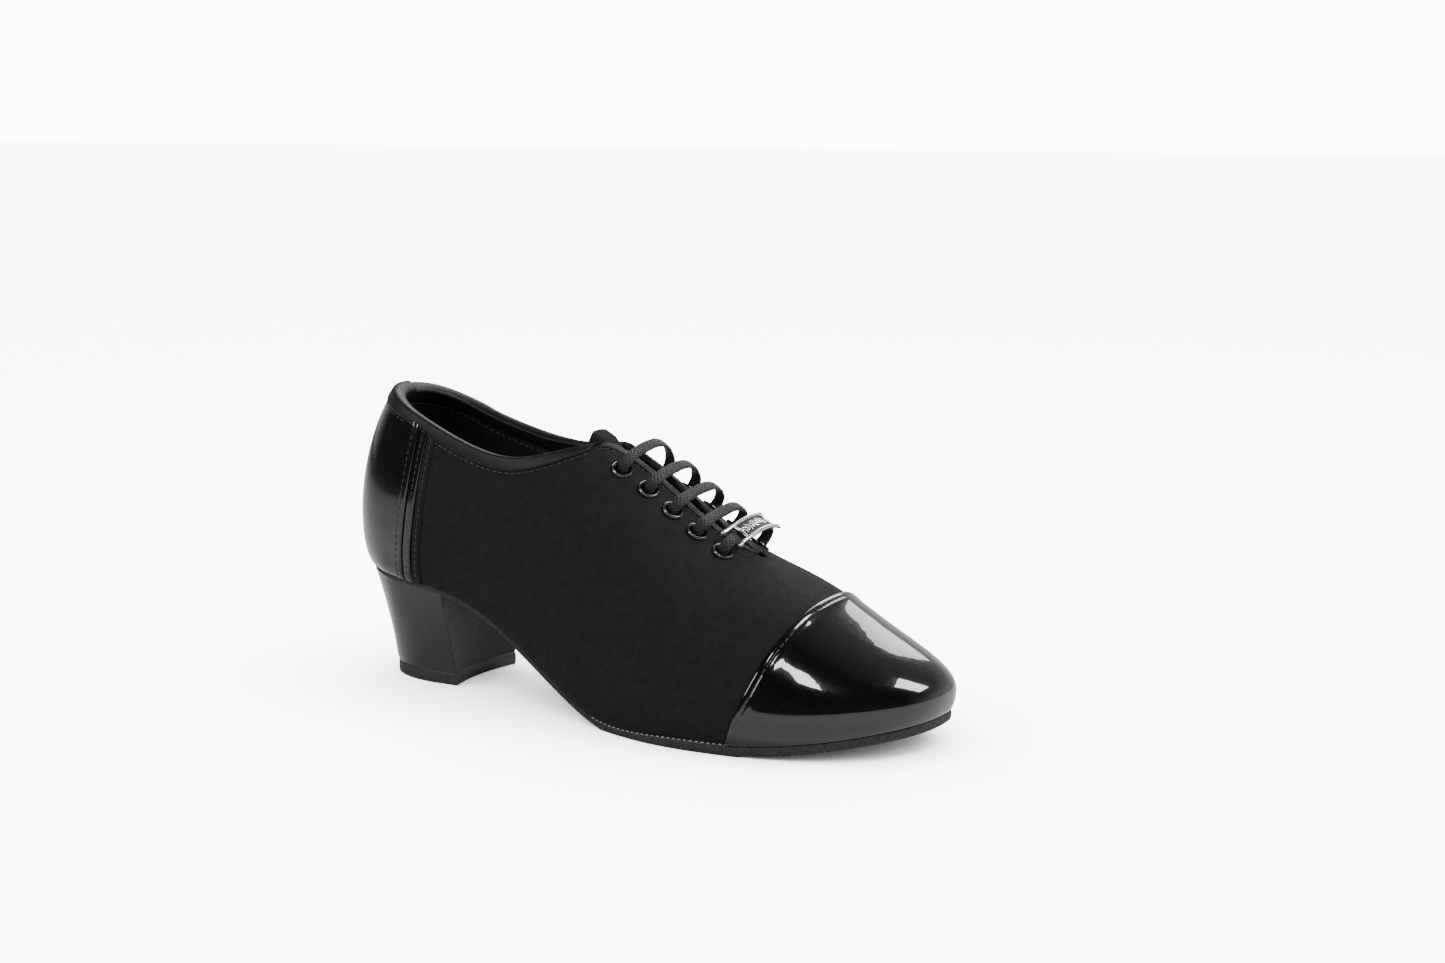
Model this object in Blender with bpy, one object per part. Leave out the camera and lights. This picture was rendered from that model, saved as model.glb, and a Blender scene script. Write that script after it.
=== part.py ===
"""Low lace-up practice shoe with a block heel, right foot, as an assembly of separate pieces.

+X runs from heel to toe, +Y to the wearer's left (the inner side of this foot), +Z up.
Sole and heel stand on Z = 0. All lengths below are millimetres; MM turns them into metres.
The upper is drawn as one smooth surface over the foot. Every layer is a slice of it,
between two distances from that surface, so the layers nest without touching.
"""
import math

import bmesh
import bpy
import numpy as np
from mathutils import Vector

MM = 0.001
GAP = 0.3                                   # clearance between pieces that touch

# The last, station by station along the shoe: x, then its shape there.
STATIONS = (-125, -100, -65, -30, 5, 40, 70, 95, 125)
OUTER_Y = (-30.5, -30.5, -29.5, -34, -42, -45.5, -42, -36.5, -28.5)
INNER_Y = (30, 32, 30, 29, 33, 40.5, 42.5, 40, 34.5)
RIDGE_Y = (0, 0, 0, 1.5, 4, 6.5, 8.5, 9.5, 8.5)
FEATHER_Z = (46.8, 43.5, 36.5, 17.5, 3.8, 3.7, 4.5, 7.5, 12.7)
WIDEST_ABOVE_FEATHER = (19, 19, 21.5, 20, 15, 12, 9.3, 8.6, 7.3)
RIDGE_Z = (128.5, 130, 127, 110, 91, 66.5, 54, 42.5, 36)
TUCK = (4, 4.5, 5.5, 7, 4.3, 2.5, 2.5, 2.1, 2.1)
TOE_START, TOE_END, HEEL_START, HEEL_END = 60.0, 125.0, -85.0, -125.0
SIDE_POWER, TOP_POWER, TOE_POWER, HEEL_POWER = 2.3, 1.86, 2.9, 2.2
SIDE_SHIFT = 0.8

# The rays that sweep the plan start on a spine and fan out round its two ends.
SPINE_REAR, SPINE_FRONT, FAN_RADIUS = -95.0, 95.0, 34.0
STRAIGHT = SPINE_FRONT - SPINE_REAR
QUARTER = math.pi * FAN_RADIUS / 2
LOOP = 2 * STRAIGHT + 4 * QUARTER

# Openings and seams of the upper.
TOPLINE_X = (-122, -108, -92, -70, -40, -10, 15)
TOPLINE_OUTER = (120, 115.5, 109, 100, 94.3, 102, 104.5)
TOPLINE_INNER = (120, 114, 106, 99, 95.2, 99.5, 105)
SLIT_HALF, THROAT_X, CORNER_X = 3.2, 50.0, -14.0
CAP_SEAM_X, CAP_SEAM_LEAN = 60.4, 0.358     # x at floor level, and how far it leans forward per mm up
COUNTER_SEAM_X, COUNTER_SEAM_LEAN = -97.0, 0.12
BINDING_WIDTH, FACING_TAPE_WIDTH = 4.5, 3.3
FLEX_X = 54.0                                # the line that the forefoot bends on
TAPE_END_X = 43.0                           # front end of the tapes on the lacing slit
UPPER_END_X = 52.0                          # the stiff rear of the upper stops here

# Layers, as distances from the outer surface.
FABRIC = (0.0, -1.4)
LINING = (-1.8, -2.7)
HEEL_LINING = (-3.2, -4.2)
TOE_LINING = (-2.05, -2.9)
STIFFENER = (-2.0, -2.6)
PATENT = (0.45, 1.3)

# Bottom of the shoe, as heights above the feather line.
SOLE_TOP = -0.6
SOLE_THICK_FRONT, SOLE_THICK_WAIST = 3.1, 1.7
TREAD = (6.0, 68.0)                         # x between which the sole lies flat on the floor
SOLE_PROUD_FRONT, SOLE_PROUD_WAIST = 1.4, 0.3
FILLER = (-0.1, 1.2)
BOARD = (1.5, 3.5)
SOCK_FRONT, SOCK_THICK, PAD_THICK = 3.8, 1.2, 2.5
HEEL_BREAST_BOTTOM_X, HEEL_BREAST_TOP_X, HEEL_BREAST_HOLLOW = -72.5, -75.5, 3.0
HEEL_BOTTOM_HALF_WIDTH, HEEL_BOTTOM_BACK_X = 21.2, -112.0
TOP_PIECE_THICK, HEEL_HEIGHT = 5.2, 42.0

# Lacing.
EYELET_X = (-1.0, 10.0, 20.1, 30.2, 40.7)
EYELET_OFFSET = 14.0                        # from the ridge line, measured across
EYELET_HOLE_R, EYELET_BARREL_R, EYELET_FLANGE_R = 2.9, 3.4, 4.2
LACE_R = 1.05
TONGUE_TOP_X, TONGUE_ROUND = -20.0, 13.0     # rounded end of the tongue
CHARM_HALF_LENGTH, CHARM_HALF_WIDTH, CHARM_THICK = 11.4, 4.5, 0.9
CHARM_PANEL = (-6.0, 9.4)                    # ends of the panel between the rails
CHARM_SLOT = 2.9                             # half width of the open gap between the rails


def spline(xs, ys):
    """Natural cubic spline through a few stations."""
    xs, ys = np.asarray(xs, float), np.asarray(ys, float)
    count, step = len(xs), np.diff(xs)
    matrix, right = np.eye(count), np.zeros(count)
    for i in range(1, count - 1):
        matrix[i, i - 1:i + 2] = step[i - 1], 2 * (step[i - 1] + step[i]), step[i]
        right[i] = 6 * ((ys[i + 1] - ys[i]) / step[i] - (ys[i] - ys[i - 1]) / step[i - 1])
    bend = np.linalg.solve(matrix, right)

    def value(x):
        x = np.clip(np.asarray(x, float), xs[0] - 20, xs[-1] + 20)
        i = np.clip(np.searchsorted(xs, x) - 1, 0, count - 2)
        t = x - xs[i]
        slope = (ys[i + 1] - ys[i]) / step[i] - step[i] * (2 * bend[i] + bend[i + 1]) / 6
        return ys[i] + t * (slope + t * (bend[i] / 2 + t * (bend[i + 1] - bend[i]) / (6 * step[i])))
    return value


outer_y, inner_y, ridge_y = (spline(STATIONS, t) for t in (OUTER_Y, INNER_Y, RIDGE_Y))
feather_z, widest_up, ridge_z, tuck = (
    spline(STATIONS, t) for t in (FEATHER_Z, WIDEST_ABOVE_FEATHER, RIDGE_Z, TUCK))
topline_outer, topline_inner = spline(TOPLINE_X, TOPLINE_OUTER), spline(TOPLINE_X, TOPLINE_INNER)


def smooth(t):
    t = np.clip(t, 0, 1)
    return t * t * (3 - 2 * t)


def widest_z(x):
    return feather_z(x) + widest_up(x)


def plan(x, y):
    """0 on the ridge, 1 on the widest line, seen from above."""
    ridge = ridge_y(x)
    width = np.where(y < ridge, ridge - outer_y(x), inner_y(x) - ridge)
    toe = np.clip((x - TOE_START) / (TOE_END - TOE_START), 0, None)
    heel = np.clip((HEEL_START - x) / (HEEL_START - HEEL_END), 0, None)
    return np.abs((y - ridge) / width) ** SIDE_POWER + toe ** TOE_POWER + heel ** HEEL_POWER


def slope(f, x, step=0.05):
    return (f(x + step) - f(x - step)) / (2 * step)


def plan_slope(x, y):
    return slope(lambda a: plan(a, y), x), slope(lambda b: plan(x, b), y)


def dome(x, y, off=0.0):
    """Point of the upper above its widest line at plan position x, y, moved out by off."""
    low, high = widest_z(x), ridge_z(x)
    rise = np.clip(1 - plan(x, y), 0, 1) ** (1 / TOP_POWER)
    along, across = plan_slope(x, y)
    steep = TOP_POWER * rise ** (TOP_POWER - 1) / (high - low)
    tilt = slope(widest_z, x) + rise * (slope(ridge_z, x) - slope(widest_z, x))
    normal = np.stack([along - steep * tilt, across, steep], -1)
    normal /= np.linalg.norm(normal, axis=-1, keepdims=True)
    return np.stack([x, y, low + (high - low) * rise], -1) + np.asarray(off)[..., None] * normal


def ray(u):
    """Start and direction of the plan ray at u: 0 heel, 0.25 outer side, 0.5 toe, 0.75 inner side."""
    run = (np.asarray(u, float) % 1.0) * LOOP
    inner = run > LOOP / 2
    run = np.where(inner, LOOP - run, run)
    x = SPINE_REAR + np.clip(run - QUARTER, 0, STRAIGHT)
    turn = np.clip(run, 0, QUARTER) + np.clip(run - QUARTER - STRAIGHT, 0, QUARTER)
    return x, -np.cos(turn / FAN_RADIUS), np.sin(turn / FAN_RADIUS) * np.where(inner, 1, -1)


def u_at(x):
    """u on the outer side where the spine's x is x; minus this value is the inner side."""
    return (QUARTER + np.asarray(x, float) - SPINE_REAR) / LOOP


def bisect(test, low, high, steps=28):
    """Arrays where test turns from False to True."""
    for _ in range(steps):
        middle = (low + high) / 2
        yes = test(middle)
        low, high = np.where(yes, low, middle), np.where(yes, middle, high)
    return (low + high) / 2


def plan_point(u, v):
    x0, dx, dy = ray(u)
    y0 = ridge_y(x0)
    start = plan(x0, y0)
    level = start + (1 - start) * np.cos(np.clip(v, 0, 1) * math.pi / 2) ** 2
    reach = bisect(lambda r: plan(x0 + r * dx, y0 + r * dy) > level, np.zeros_like(level),
                   np.full_like(level, 90.0))
    return x0 + reach * dx, y0 + reach * dy


def surface(u, v, off=0.0):
    """Point of the upper at u round the foot and v up it: -1 feather line, 0 widest line, 1 ridge."""
    u, v, off = np.broadcast_arrays(*(np.asarray(a, float) for a in (u, v, off)))
    x, y = plan_point(u, v)
    above = dome(x, y, off)
    along, across = plan_slope(x, y)
    length = np.hypot(along, across) + 1e-9
    down = np.clip(-v, 0, 1) * math.pi / 2
    inward = np.minimum(off, 0)
    out = -(1 - np.cos(down)) * tuck(x) + inward * np.cos(down) + np.maximum(off, 0)
    z = widest_z(x) - (widest_up(x) + inward) * np.sin(down)
    below = np.stack([x + out * along / length, y + out * across / length, z], -1)
    return np.where((v < 0)[..., None], below, above)


def edge_test(u, v):
    """True beyond the topline or inside the lacing slit; their corner is rounded."""
    x, y, z = np.moveaxis(surface(u, v), -1, 0)
    top = np.where(y < ridge_y(x), topline_outer(x), topline_inner(x))
    slit = SLIT_HALF * np.sqrt(np.clip((THROAT_X - x) / 30, 0, 1)) - 0.3 - 60 * smooth((-40 - x) / 20)
    over, inside = z - top, slit - np.abs(y - ridge_y(x))
    return (over + inside + np.sqrt((over - inside) ** 2 + 25)) / 2 > 0


EDGE_U = np.linspace(-0.5, 0.5, 601)
EDGE_V = bisect(lambda v: edge_test(EDGE_U, v), np.zeros(601), np.ones(601))
EDGE_V[EDGE_V > 0.9999] = 1.0


def edge_v(u):
    return np.interp(u, EDGE_U, EDGE_V)


def below_edge(u, distance):
    """v of the point that lies distance under the upper's top edge."""
    top_v = edge_v(u)
    top = surface(u, top_v)
    near = bisect(lambda t: np.linalg.norm(surface(u, top_v - t) - top, axis=-1) > distance,
                  np.zeros_like(top_v), top_v)
    return np.where(np.asarray(distance) > 0, top_v - near, top_v)


def seam_u(v, start_x, lean, side):
    """u where the seam x = start_x + lean * z crosses row v, on side 1 (outer) or -1 (inner)."""
    def beyond(u):
        point = surface(side * u, v)
        return point[..., 0] > start_x + lean * point[..., 2]
    return side * bisect(beyond, np.zeros_like(v), np.full_like(v, 0.5))


# ---------------------------------------------------------------- meshes

def add_object(name, mesh):
    mesh.name = name
    thing = bpy.data.objects.new(name, mesh)
    bpy.context.collection.objects.link(thing)
    return thing


def finish(name, points, faces, paint, merge=0.02):
    """One closed object from points in millimetres, with its faces pointing out."""
    work = bmesh.new()
    points = np.asarray(points, float).reshape(-1, 3) + (0, SIDE_SHIFT, 0)
    verts = [work.verts.new(p) for p in points]
    work.verts.ensure_lookup_table()
    for face in faces:
        work.faces.new([verts[i] for i in face])
    bmesh.ops.remove_doubles(work, verts=work.verts, dist=merge)
    bmesh.ops.dissolve_degenerate(work, edges=work.edges, dist=merge / 4)
    bmesh.ops.recalc_face_normals(work, faces=work.faces)
    if work.calc_volume(signed=True) < 0:
        bmesh.ops.reverse_faces(work, faces=work.faces)
    bmesh.ops.scale(work, vec=(MM, MM, MM), verts=work.verts)
    mesh = bpy.data.meshes.new(name)
    work.to_mesh(mesh)
    work.free()
    mesh.shade_smooth()
    mesh.set_sharp_from_angle(angle=math.radians(35))
    thing = add_object(name, mesh)
    mesh.materials.append(paint)
    return thing


def between(name, outer, inner, paint, zipped=None):
    """Solid between two grids [column, row]; zipped columns have no rim along their top row."""
    count, rows = outer.shape[:2]
    if zipped is None:
        zipped = np.zeros(count, bool)
    index = np.arange(count * rows).reshape(count, rows)
    other = index + count * rows
    faces = []
    for i in range(count - 1):
        for j in range(rows - 1):
            a, b, c, d = index[i, j], index[i + 1, j], index[i + 1, j + 1], index[i, j + 1]
            for corners in ((a, b, c), (a, c, d)):
                faces.append(corners)
                faces.append(tuple(k + count * rows for k in corners[::-1]))
        faces.append((index[i, 0], other[i, 0], other[i + 1, 0], index[i + 1, 0]))
        if not (zipped[i] and zipped[i + 1]):
            faces.append((index[i, -1], index[i + 1, -1], other[i + 1, -1], other[i, -1]))
    for j in range(rows - 1):
        faces.append((index[0, j], index[0, j + 1], other[0, j + 1], other[0, j]))
        faces.append((index[-1, j], other[-1, j], other[-1, j + 1], index[-1, j + 1]))
    return finish(name, np.concatenate([outer.reshape(-1, 3), inner.reshape(-1, 3)]), faces, paint)


def ladder(name, levels, paint):
    """Solid from stacked grids [level, station, across]; the first level is the bottom."""
    levels = np.asarray(levels)
    count, stations, across = levels.shape[:3]
    index = np.arange(levels[..., 0].size).reshape(count, stations, across)
    faces = []
    for grid, order in ((index[0], 1), (index[-1], -1)):
        for i in range(stations - 1):
            for k in range(across - 1):
                quad = (grid[i, k], grid[i + 1, k], grid[i + 1, k + 1], grid[i, k + 1])
                faces.append(quad[::order])
    loop = [(i, 0) for i in range(stations)] + [(stations - 1, k) for k in range(1, across)]
    loop += [(i, across - 1) for i in range(stations - 2, -1, -1)]
    loop += [(0, k) for k in range(across - 2, 0, -1)]
    for low, high in zip(index[:-1], index[1:]):
        for here, there in zip(loop, loop[1:] + loop[:1]):
            faces.append((low[here], low[there], high[there], high[here]))
    return finish(name, levels, faces, paint)


def sweep(name, sections, paint):
    """Solid through closed sections [section, corner], with flat ends."""
    count, corners = sections.shape[:2]
    index = np.arange(count * corners).reshape(count, corners)
    faces = [tuple(index[0]), tuple(index[-1][::-1])]
    for i in range(count - 1):
        for k in range(corners):
            n = (k + 1) % corners
            faces.append((index[i, k], index[i + 1, k], index[i + 1, n], index[i, n]))
    return finish(name, sections, faces, paint)


def turned(name, profile, centre, axis, paint, sides=16):
    """Turned solid from (radius, height) points; a profile that never meets the axis makes a ring."""
    turn = Vector((0, 0, 1)).rotation_difference(Vector(axis)).to_matrix()
    ring = [(math.cos(2 * math.pi * k / sides), math.sin(2 * math.pi * k / sides)) for k in range(sides)]
    points = [Vector(centre) + turn @ Vector((r * c, r * s, h)) for r, h in profile for c, s in ring]
    count = len(profile)
    closed = min(r for r, _ in profile) > 0.01
    faces = []
    for i in range(count if closed else count - 1):
        for k in range(sides):
            a, b = i * sides + k, i * sides + (k + 1) % sides
            c, d = (b + sides) % (count * sides), (a + sides) % (count * sides)
            faces.append((a, b, c, d))
    return finish(name, points, faces, paint)


def cut(thing, cutter):
    """Boolean difference, with the cutter kept as a hidden guide."""
    tool = thing.modifiers.new("cut_" + cutter.name, "BOOLEAN")
    tool.operation = "DIFFERENCE"
    tool.object = cutter
    cutter.hide_render = True
    cutter.display_type = "WIRE"


def material(name, colour, rough, metal=0.0):
    paint = bpy.data.materials.new(name)
    paint.use_nodes = True
    shader = paint.node_tree.nodes["Principled BSDF"]
    shader.inputs["Base Color"].default_value = (*colour, 1)
    shader.inputs["Roughness"].default_value = rough
    shader.inputs["Metallic"].default_value = metal
    return paint


def columns(x_from, x_to, spacing, extra=()):
    """u values on the outer side from spine x_from to x_to, at about the given spacing."""
    xs = np.linspace(x_from, x_to, max(2, round((x_to - x_from) / spacing) + 1))
    return u_at(np.unique(np.concatenate([xs, extra])))


def both_sides(us):
    """The same columns on the inner side (negative u), then on the outer side."""
    us = np.asarray(us)
    return np.concatenate([-us[::-1], us[1:] if us[0] == 0 else us])


def heel_round(steps=9):
    """u values from the heel's back to the start of the straight spine."""
    return np.linspace(0, QUARTER / LOOP, steps, endpoint=False)


# ---------------------------------------------------------------- soft upper

UNDER_ROWS = np.array([-1, -0.5])


def rows_to(top_v, count, bottom=UNDER_ROWS):
    """Rows from the feather line through the widest line up to top_v, one list for each column."""
    up = np.linspace(0, 1, count + 1)
    return np.concatenate([np.repeat(bottom[None], len(top_v), 0), top_v[:, None] * up], 1)


def rear_side():
    """Columns from the heel to the vamp that every rear layer shares, so that their facets nest."""
    extra = (-26, -19, CORNER_X, CORNER_X + 1.2, -9, TAPE_END_X, TAPE_END_X + 3, 49, 50.5)
    return np.concatenate([heel_round(), columns(SPINE_REAR, UPPER_END_X, 12, extra)])


def rear_us(last_x=UPPER_END_X):
    side = rear_side()
    return both_sides(side[side <= u_at(last_x) + 1e-6])


def free_margin(u):
    """How far the fabric stays under the top edge, to leave room for binding and tapes."""
    x = ray(u)[0]
    margins = (BINDING_WIDTH + GAP, FACING_TAPE_WIDTH + GAP, FACING_TAPE_WIDTH + GAP, 0.0)
    return np.interp(x, (CORNER_X, CORNER_X + 5, TAPE_END_X, TAPE_END_X + 3), margins)


def make_rear_upper(fabric):
    us = rear_us()
    vs = rows_to(below_edge(us, free_margin(us)), 5)
    grid = np.repeat(us[:, None], vs.shape[1], 1)
    return between("upper_quarters", surface(grid, vs, FABRIC[0]), surface(grid, vs, FABRIC[1]), fabric,
                   zipped=edge_v(us) == 1)


def lining_depth(u, layer):
    """The lining steps in at the heel to leave room for the stiffener."""
    x = plan_point(u, np.zeros_like(u))[0]
    back = smooth((-38 - x) / 20)
    return LINING[layer] + back * (HEEL_LINING[layer] - LINING[layer])


def make_rear_lining(cloth):
    us = rear_us()
    vs = rows_to(below_edge(us, free_margin(us)), 5)
    grid = np.repeat(us[:, None], vs.shape[1], 1)
    outer, inner = (surface(grid, vs, lining_depth(grid, layer)) for layer in (0, 1))
    return between("lining_quarters", outer, inner, cloth, zipped=edge_v(us) == 1)


def front_patch(name, paint, layer, rear, front, count, rows):
    """Patch that goes over the instep or the toe between two seam functions u(v)."""
    vs = np.concatenate([UNDER_ROWS, np.linspace(0, 1, rows + 1)])
    ends = [np.array([rear(np.array([v]), side)[0] for v in vs]) for side in (1, -1)]
    if front is None:
        share = np.linspace(0, 1, count)[:, None]
        grid = ends[0] + share * (1 + ends[1] - ends[0])
        vs = np.repeat(vs[None], count, 0)
        zipped = np.ones(count, bool)
        return between(name, surface(grid, vs, layer[0]), surface(grid, vs, layer[1]), paint, zipped)
    tips = [np.array([front(np.array([v]), side)[0] for v in vs]) for side in (1, -1)]
    share = np.linspace(0, 1, count)[:, None]
    outer_side = ends[0] + share * (tips[0] - ends[0])
    inner_side = ends[1] + share * (tips[1] - ends[1])
    u = np.concatenate([outer_side, inner_side[:, ::-1][:, 1:]], 1)
    v = np.repeat(np.concatenate([vs, vs[::-1][1:]])[None], count, 0)
    return between(name, surface(u, v, layer[0]), surface(u, v, layer[1]), paint)


def plane_u(x):
    return lambda v, side: side * u_at(np.full_like(v, x))


def cap_seam(shift):
    return lambda v, side: seam_u(v, CAP_SEAM_X + shift, CAP_SEAM_LEAN, side)


def make_forefoot(fabric, cloth, patent, board):
    front_patch("upper_vamp", fabric, FABRIC, plane_u(UPPER_END_X + 0.4), cap_seam(7), 5, 5)
    front_patch("lining_vamp", cloth, LINING, plane_u(UPPER_END_X + 0.4), cap_seam(2), 4, 5)
    front_patch("toe_cap", patent, PATENT, cap_seam(0), None, 23, 5)
    front_patch("toe_puff", board, FABRIC, cap_seam(7.5), None, 19, 5)
    front_patch("lining_toe", cloth, TOE_LINING, cap_seam(2.5), None, 19, 5)


def counter_patch(name, paint, layer, shift, shares, count):
    """Cup round the heel; shares are its rows, as parts of the rear upper's height."""
    across = np.linspace(0, 1, count)[:, None]
    low = UNDER_ROWS[None] + 0 * across
    v = np.concatenate([low, 0.8 * np.array(shares)[None] + 0 * across], 1)
    for _ in range(4):
        ends = [seam_u(v, COUNTER_SEAM_X + shift, COUNTER_SEAM_LEAN, side) for side in (-1, 1)]
        u = ends[0] + across * (ends[1] - ends[0])
        top = below_edge(u, np.full_like(u, BINDING_WIDTH + GAP))
        v = np.concatenate([low, top[:, len(UNDER_ROWS):] * np.array(shares)], 1)
    return between(name, surface(u, v, layer[0]), surface(u, v, layer[1]), paint)


def seam_strip(name, paint, side):
    """Folded strip along the front edge of the counter cover."""
    climb = np.linspace(0, 1, 9)
    share = np.linspace(0, 1, 3)[:, None]
    v = np.repeat((-1 + climb * 1.5)[None], 3, 0)
    for _ in range(5):
        rear = seam_u(v, COUNTER_SEAM_X + GAP, COUNTER_SEAM_LEAN, side)
        front = seam_u(v, COUNTER_SEAM_X + 4.2, COUNTER_SEAM_LEAN, side)
        u = rear + share * (front - rear)
        v = -1 + climb * (below_edge(u, np.full_like(u, BINDING_WIDTH + 1.2)) + 1)
    return between(name, surface(u, v, 1.0), surface(u, v, 0.3), paint)


def edge_band(name, us, width, proud, depth, paint):
    """Rounded band that wraps the upper's raw edge: topline binding or facing tape."""
    top, middle, low = (below_edge(us, np.full_like(us, w)) for w in (0.0, width / 2, width))
    section = [(low, proud * 0.8), (middle, proud), (top, proud * 0.5), (top, depth * 0.85),
               (middle, depth), (low, depth)]
    return sweep(name, np.stack([surface(us, v, off) for v, off in section], 1), paint)


def make_edges(satin, fabric):
    us = rear_us(CORNER_X)
    depth = lining_depth(us, 1) - 0.2
    edge_band("topline_binding", us, BINDING_WIDTH, 0.9, depth, satin)
    for name, sign in (("facing_tape_outer", 1), ("facing_tape_inner", -1)):
        side = rear_side()
        us = sign * side[(side > u_at(CORNER_X + 1)) & (side < u_at(TAPE_END_X + 0.1))]
        edge_band(name, us, FACING_TAPE_WIDTH, 0.5, LINING[1] - 0.2, fabric)


# ---------------------------------------------------------------- lacing

def eyelet_places():
    for side, word in ((-1, "outer"), (1, "inner")):
        for number, x in enumerate(EYELET_X, 1):
            y = ridge_y(x) + side * EYELET_OFFSET
            point, above = dome(np.array(x), y), dome(np.array(x), y, 1.0)
            yield word, number, point, above - point


def make_eyelets(metal, walls):
    low, high = LINING[1] - GAP - 0.8, 0.35
    flange, rim = EYELET_FLANGE_R, EYELET_HOLE_R
    barrel = EYELET_BARREL_R
    profile = [(rim, high + 0.7), (rim + 0.7, high + 0.9), (flange, high + 0.4), (flange, high), (barrel, high),
               (barrel, low - 0.1), (flange, low - 0.1), (flange, low - 0.5), (rim, low - 0.5)]
    for word, number, point, normal in eyelet_places():
        turned(f"eyelet_{word}_{number}", profile, point, normal, metal, sides=10)
        hole = turned(f"cutter_{word}_{number}", [(0, 4), (barrel + GAP, 4), (barrel + GAP, -7), (0, -7)],
                      point, normal, metal, sides=10)
        for wall in walls:
            cut(wall, hole)


def on_ridge(x, across, off):
    """Point at x, this far across from the ridge line, and off from the surface."""
    return dome(np.array(float(x)), ridge_y(x) + across, off)


BAR = ((-14, -4.6), (-14, -0.6), (-13.7, 1.5), (-12.5, 3.4), (-10, 4.2), (-6, 4.7), (0, 5.8), (4, 6.8), (8, 7.4),
       (11.5, 7.0), (13.4, 5.7), (14.2, 3.6), (14.2, 1.2), (14, -0.8), (14, -4.6))
CHARM_BAR = ((-14, -4.6), (-14, -0.4), (-13.9, 1.6), (-13, 3.2), (-11.5, 3.9), (-9, 4.1), (-6.5, 3.8), (0, 5.4),
             (6, 6.8), (9.5, 7.7), (11.5, 8.0), (13.2, 7.1), (14.2, 5.0), (14.3, 2.4), (14, -0.6), (14, -4.6))
START_TAIL = ((104, 9, -7), (95, 14, -6), (82, 18, -5.4), (68, 19, -5.2), (56, 18, -5.8), (49, 16, -6.6),
              (44, 14.4, -6.4))
END_TAIL = ((2.2, -14.8, -6.4), (6.5, -18.5, -6.4), (14, -22, -5.2), (30, -23, -5.2), (48, -24, -5.4),
            (64, -23, -5.6), (76, -20, -6.2))


def lace_route():
    """Straight bar lacing from the lowest pair up, with both ends tucked in beside the tongue."""
    route = [on_ridge(*spot) for spot in START_TAIL]
    side = 1
    xs = EYELET_X[::-1]
    for x, above in zip(xs, xs[1:] + (None,)):
        spots = CHARM_BAR if x == xs[0] else BAR
        route += [on_ridge(x, across, off) for across, off in spots[::-side]]
        side = -side
        if above is not None:
            route += [on_ridge(x - 3.4, side * 14.6, -6.4), on_ridge(above + 3.4, side * 14.6, -6.4)]
    route += [on_ridge(*spot) for spot in END_TAIL]
    return np.array(route) + (0, SIDE_SHIFT, 0)


def resample(points, spacing):
    """Evenly spaced points on a smooth curve through the given ones."""
    run = np.concatenate([[0], np.cumsum(np.linalg.norm(np.diff(points, axis=0), axis=1))])
    curve = [spline(run, points[:, k]) for k in range(3)]
    fine = np.linspace(0, run[-1], 2000)
    path = np.stack([c(fine) for c in curve], 1)
    length = np.concatenate([[0], np.cumsum(np.linalg.norm(np.diff(path, axis=0), axis=1))])
    even = np.linspace(0, length[-1], round(length[-1] / spacing) + 1)
    return np.stack([np.interp(even, length, path[:, k]) for k in range(3)], 1)


def tube(name, path, radius, paint):
    curve = bpy.data.curves.new(name, "CURVE")
    curve.dimensions = "3D"
    line = curve.splines.new("POLY")
    line.points.add(len(path) - 1)
    for spot, point in zip(line.points, path):
        spot.co = (*(point * MM), 1)
    curve.bevel_depth = radius * MM
    curve.bevel_resolution = 2
    curve.use_fill_caps = True
    thing = add_object(name, curve)
    curve.materials.append(paint)
    return thing


def make_lace(cord, plastic):
    path = resample(lace_route(), 6.0)
    tube("lace", path, LACE_R, cord)
    for name, tip, before in (("lace_tip_start", path[0], path[1]), ("lace_tip_end", path[-1], path[-2])):
        axis = (tip - before) / np.linalg.norm(tip - before)
        centre = tip + axis * GAP - (0, SIDE_SHIFT, 0)
        turned(name, [(0, 0), (LACE_R, 0), (LACE_R, 12), (0, 12)], centre, axis, plastic, sides=10)


def charm_offset(across):
    """Height of the charm's underside over the upper: it rides up on the high inner side of the bar."""
    return 6.65 + 0.245 * np.asarray(across)


def make_charm(metal):
    """Arched plate over the lowest bar: two long rails, joined by a panel that the lace runs under."""
    x = EYELET_X[-1]
    across = np.array([-CHARM_HALF_LENGTH, -9, CHARM_PANEL[0], -3, 0, 3, 6, CHARM_PANEL[1], CHARM_HALF_LENGTH])
    along = np.array([-CHARM_HALF_WIDTH, 0, CHARM_HALF_WIDTH])
    down = on_ridge(x + 1, 0, 0) - on_ridge(x - 1, 0, 0)
    down /= np.linalg.norm(down)
    up = np.cross(down, (0, 1, 0))
    middle = np.array([on_ridge(x, a, charm_offset(a)) for a in across])
    low = middle[:, None] + along[None, :, None] * down
    plate = between("lace_charm", low + CHARM_THICK * up, low, metal)
    for word, inner_end, outer_end in (("outer", CHARM_PANEL[0], -16), ("inner", CHARM_PANEL[1], 16)):
        ends = np.array([on_ridge(x, a, charm_offset(a)) for a in sorted((inner_end, outer_end))])
        grid = ends[None, :, None] + np.array([-CHARM_SLOT, CHARM_SLOT])[None, None, :, None] * down
        slot = ladder(f"cutter_charm_{word}", np.concatenate([grid - 4 * up, grid + 5 * up]), metal)
        cut(plate, slot)


# ---------------------------------------------------------------- tongue

def tongue_drop(x, across):
    """Top of the tongue against the ridge surface: it dips beside the middle, under the lace,
    and its free end rises through the opening."""
    rise = 3.2 * smooth((-8 - x) / 8) * (1 - smooth((np.abs(across) - 4.5) / 4.5))
    return -3.5 - 4.6 * smooth((np.abs(across) - 6.5) / 4.5) + rise


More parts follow.
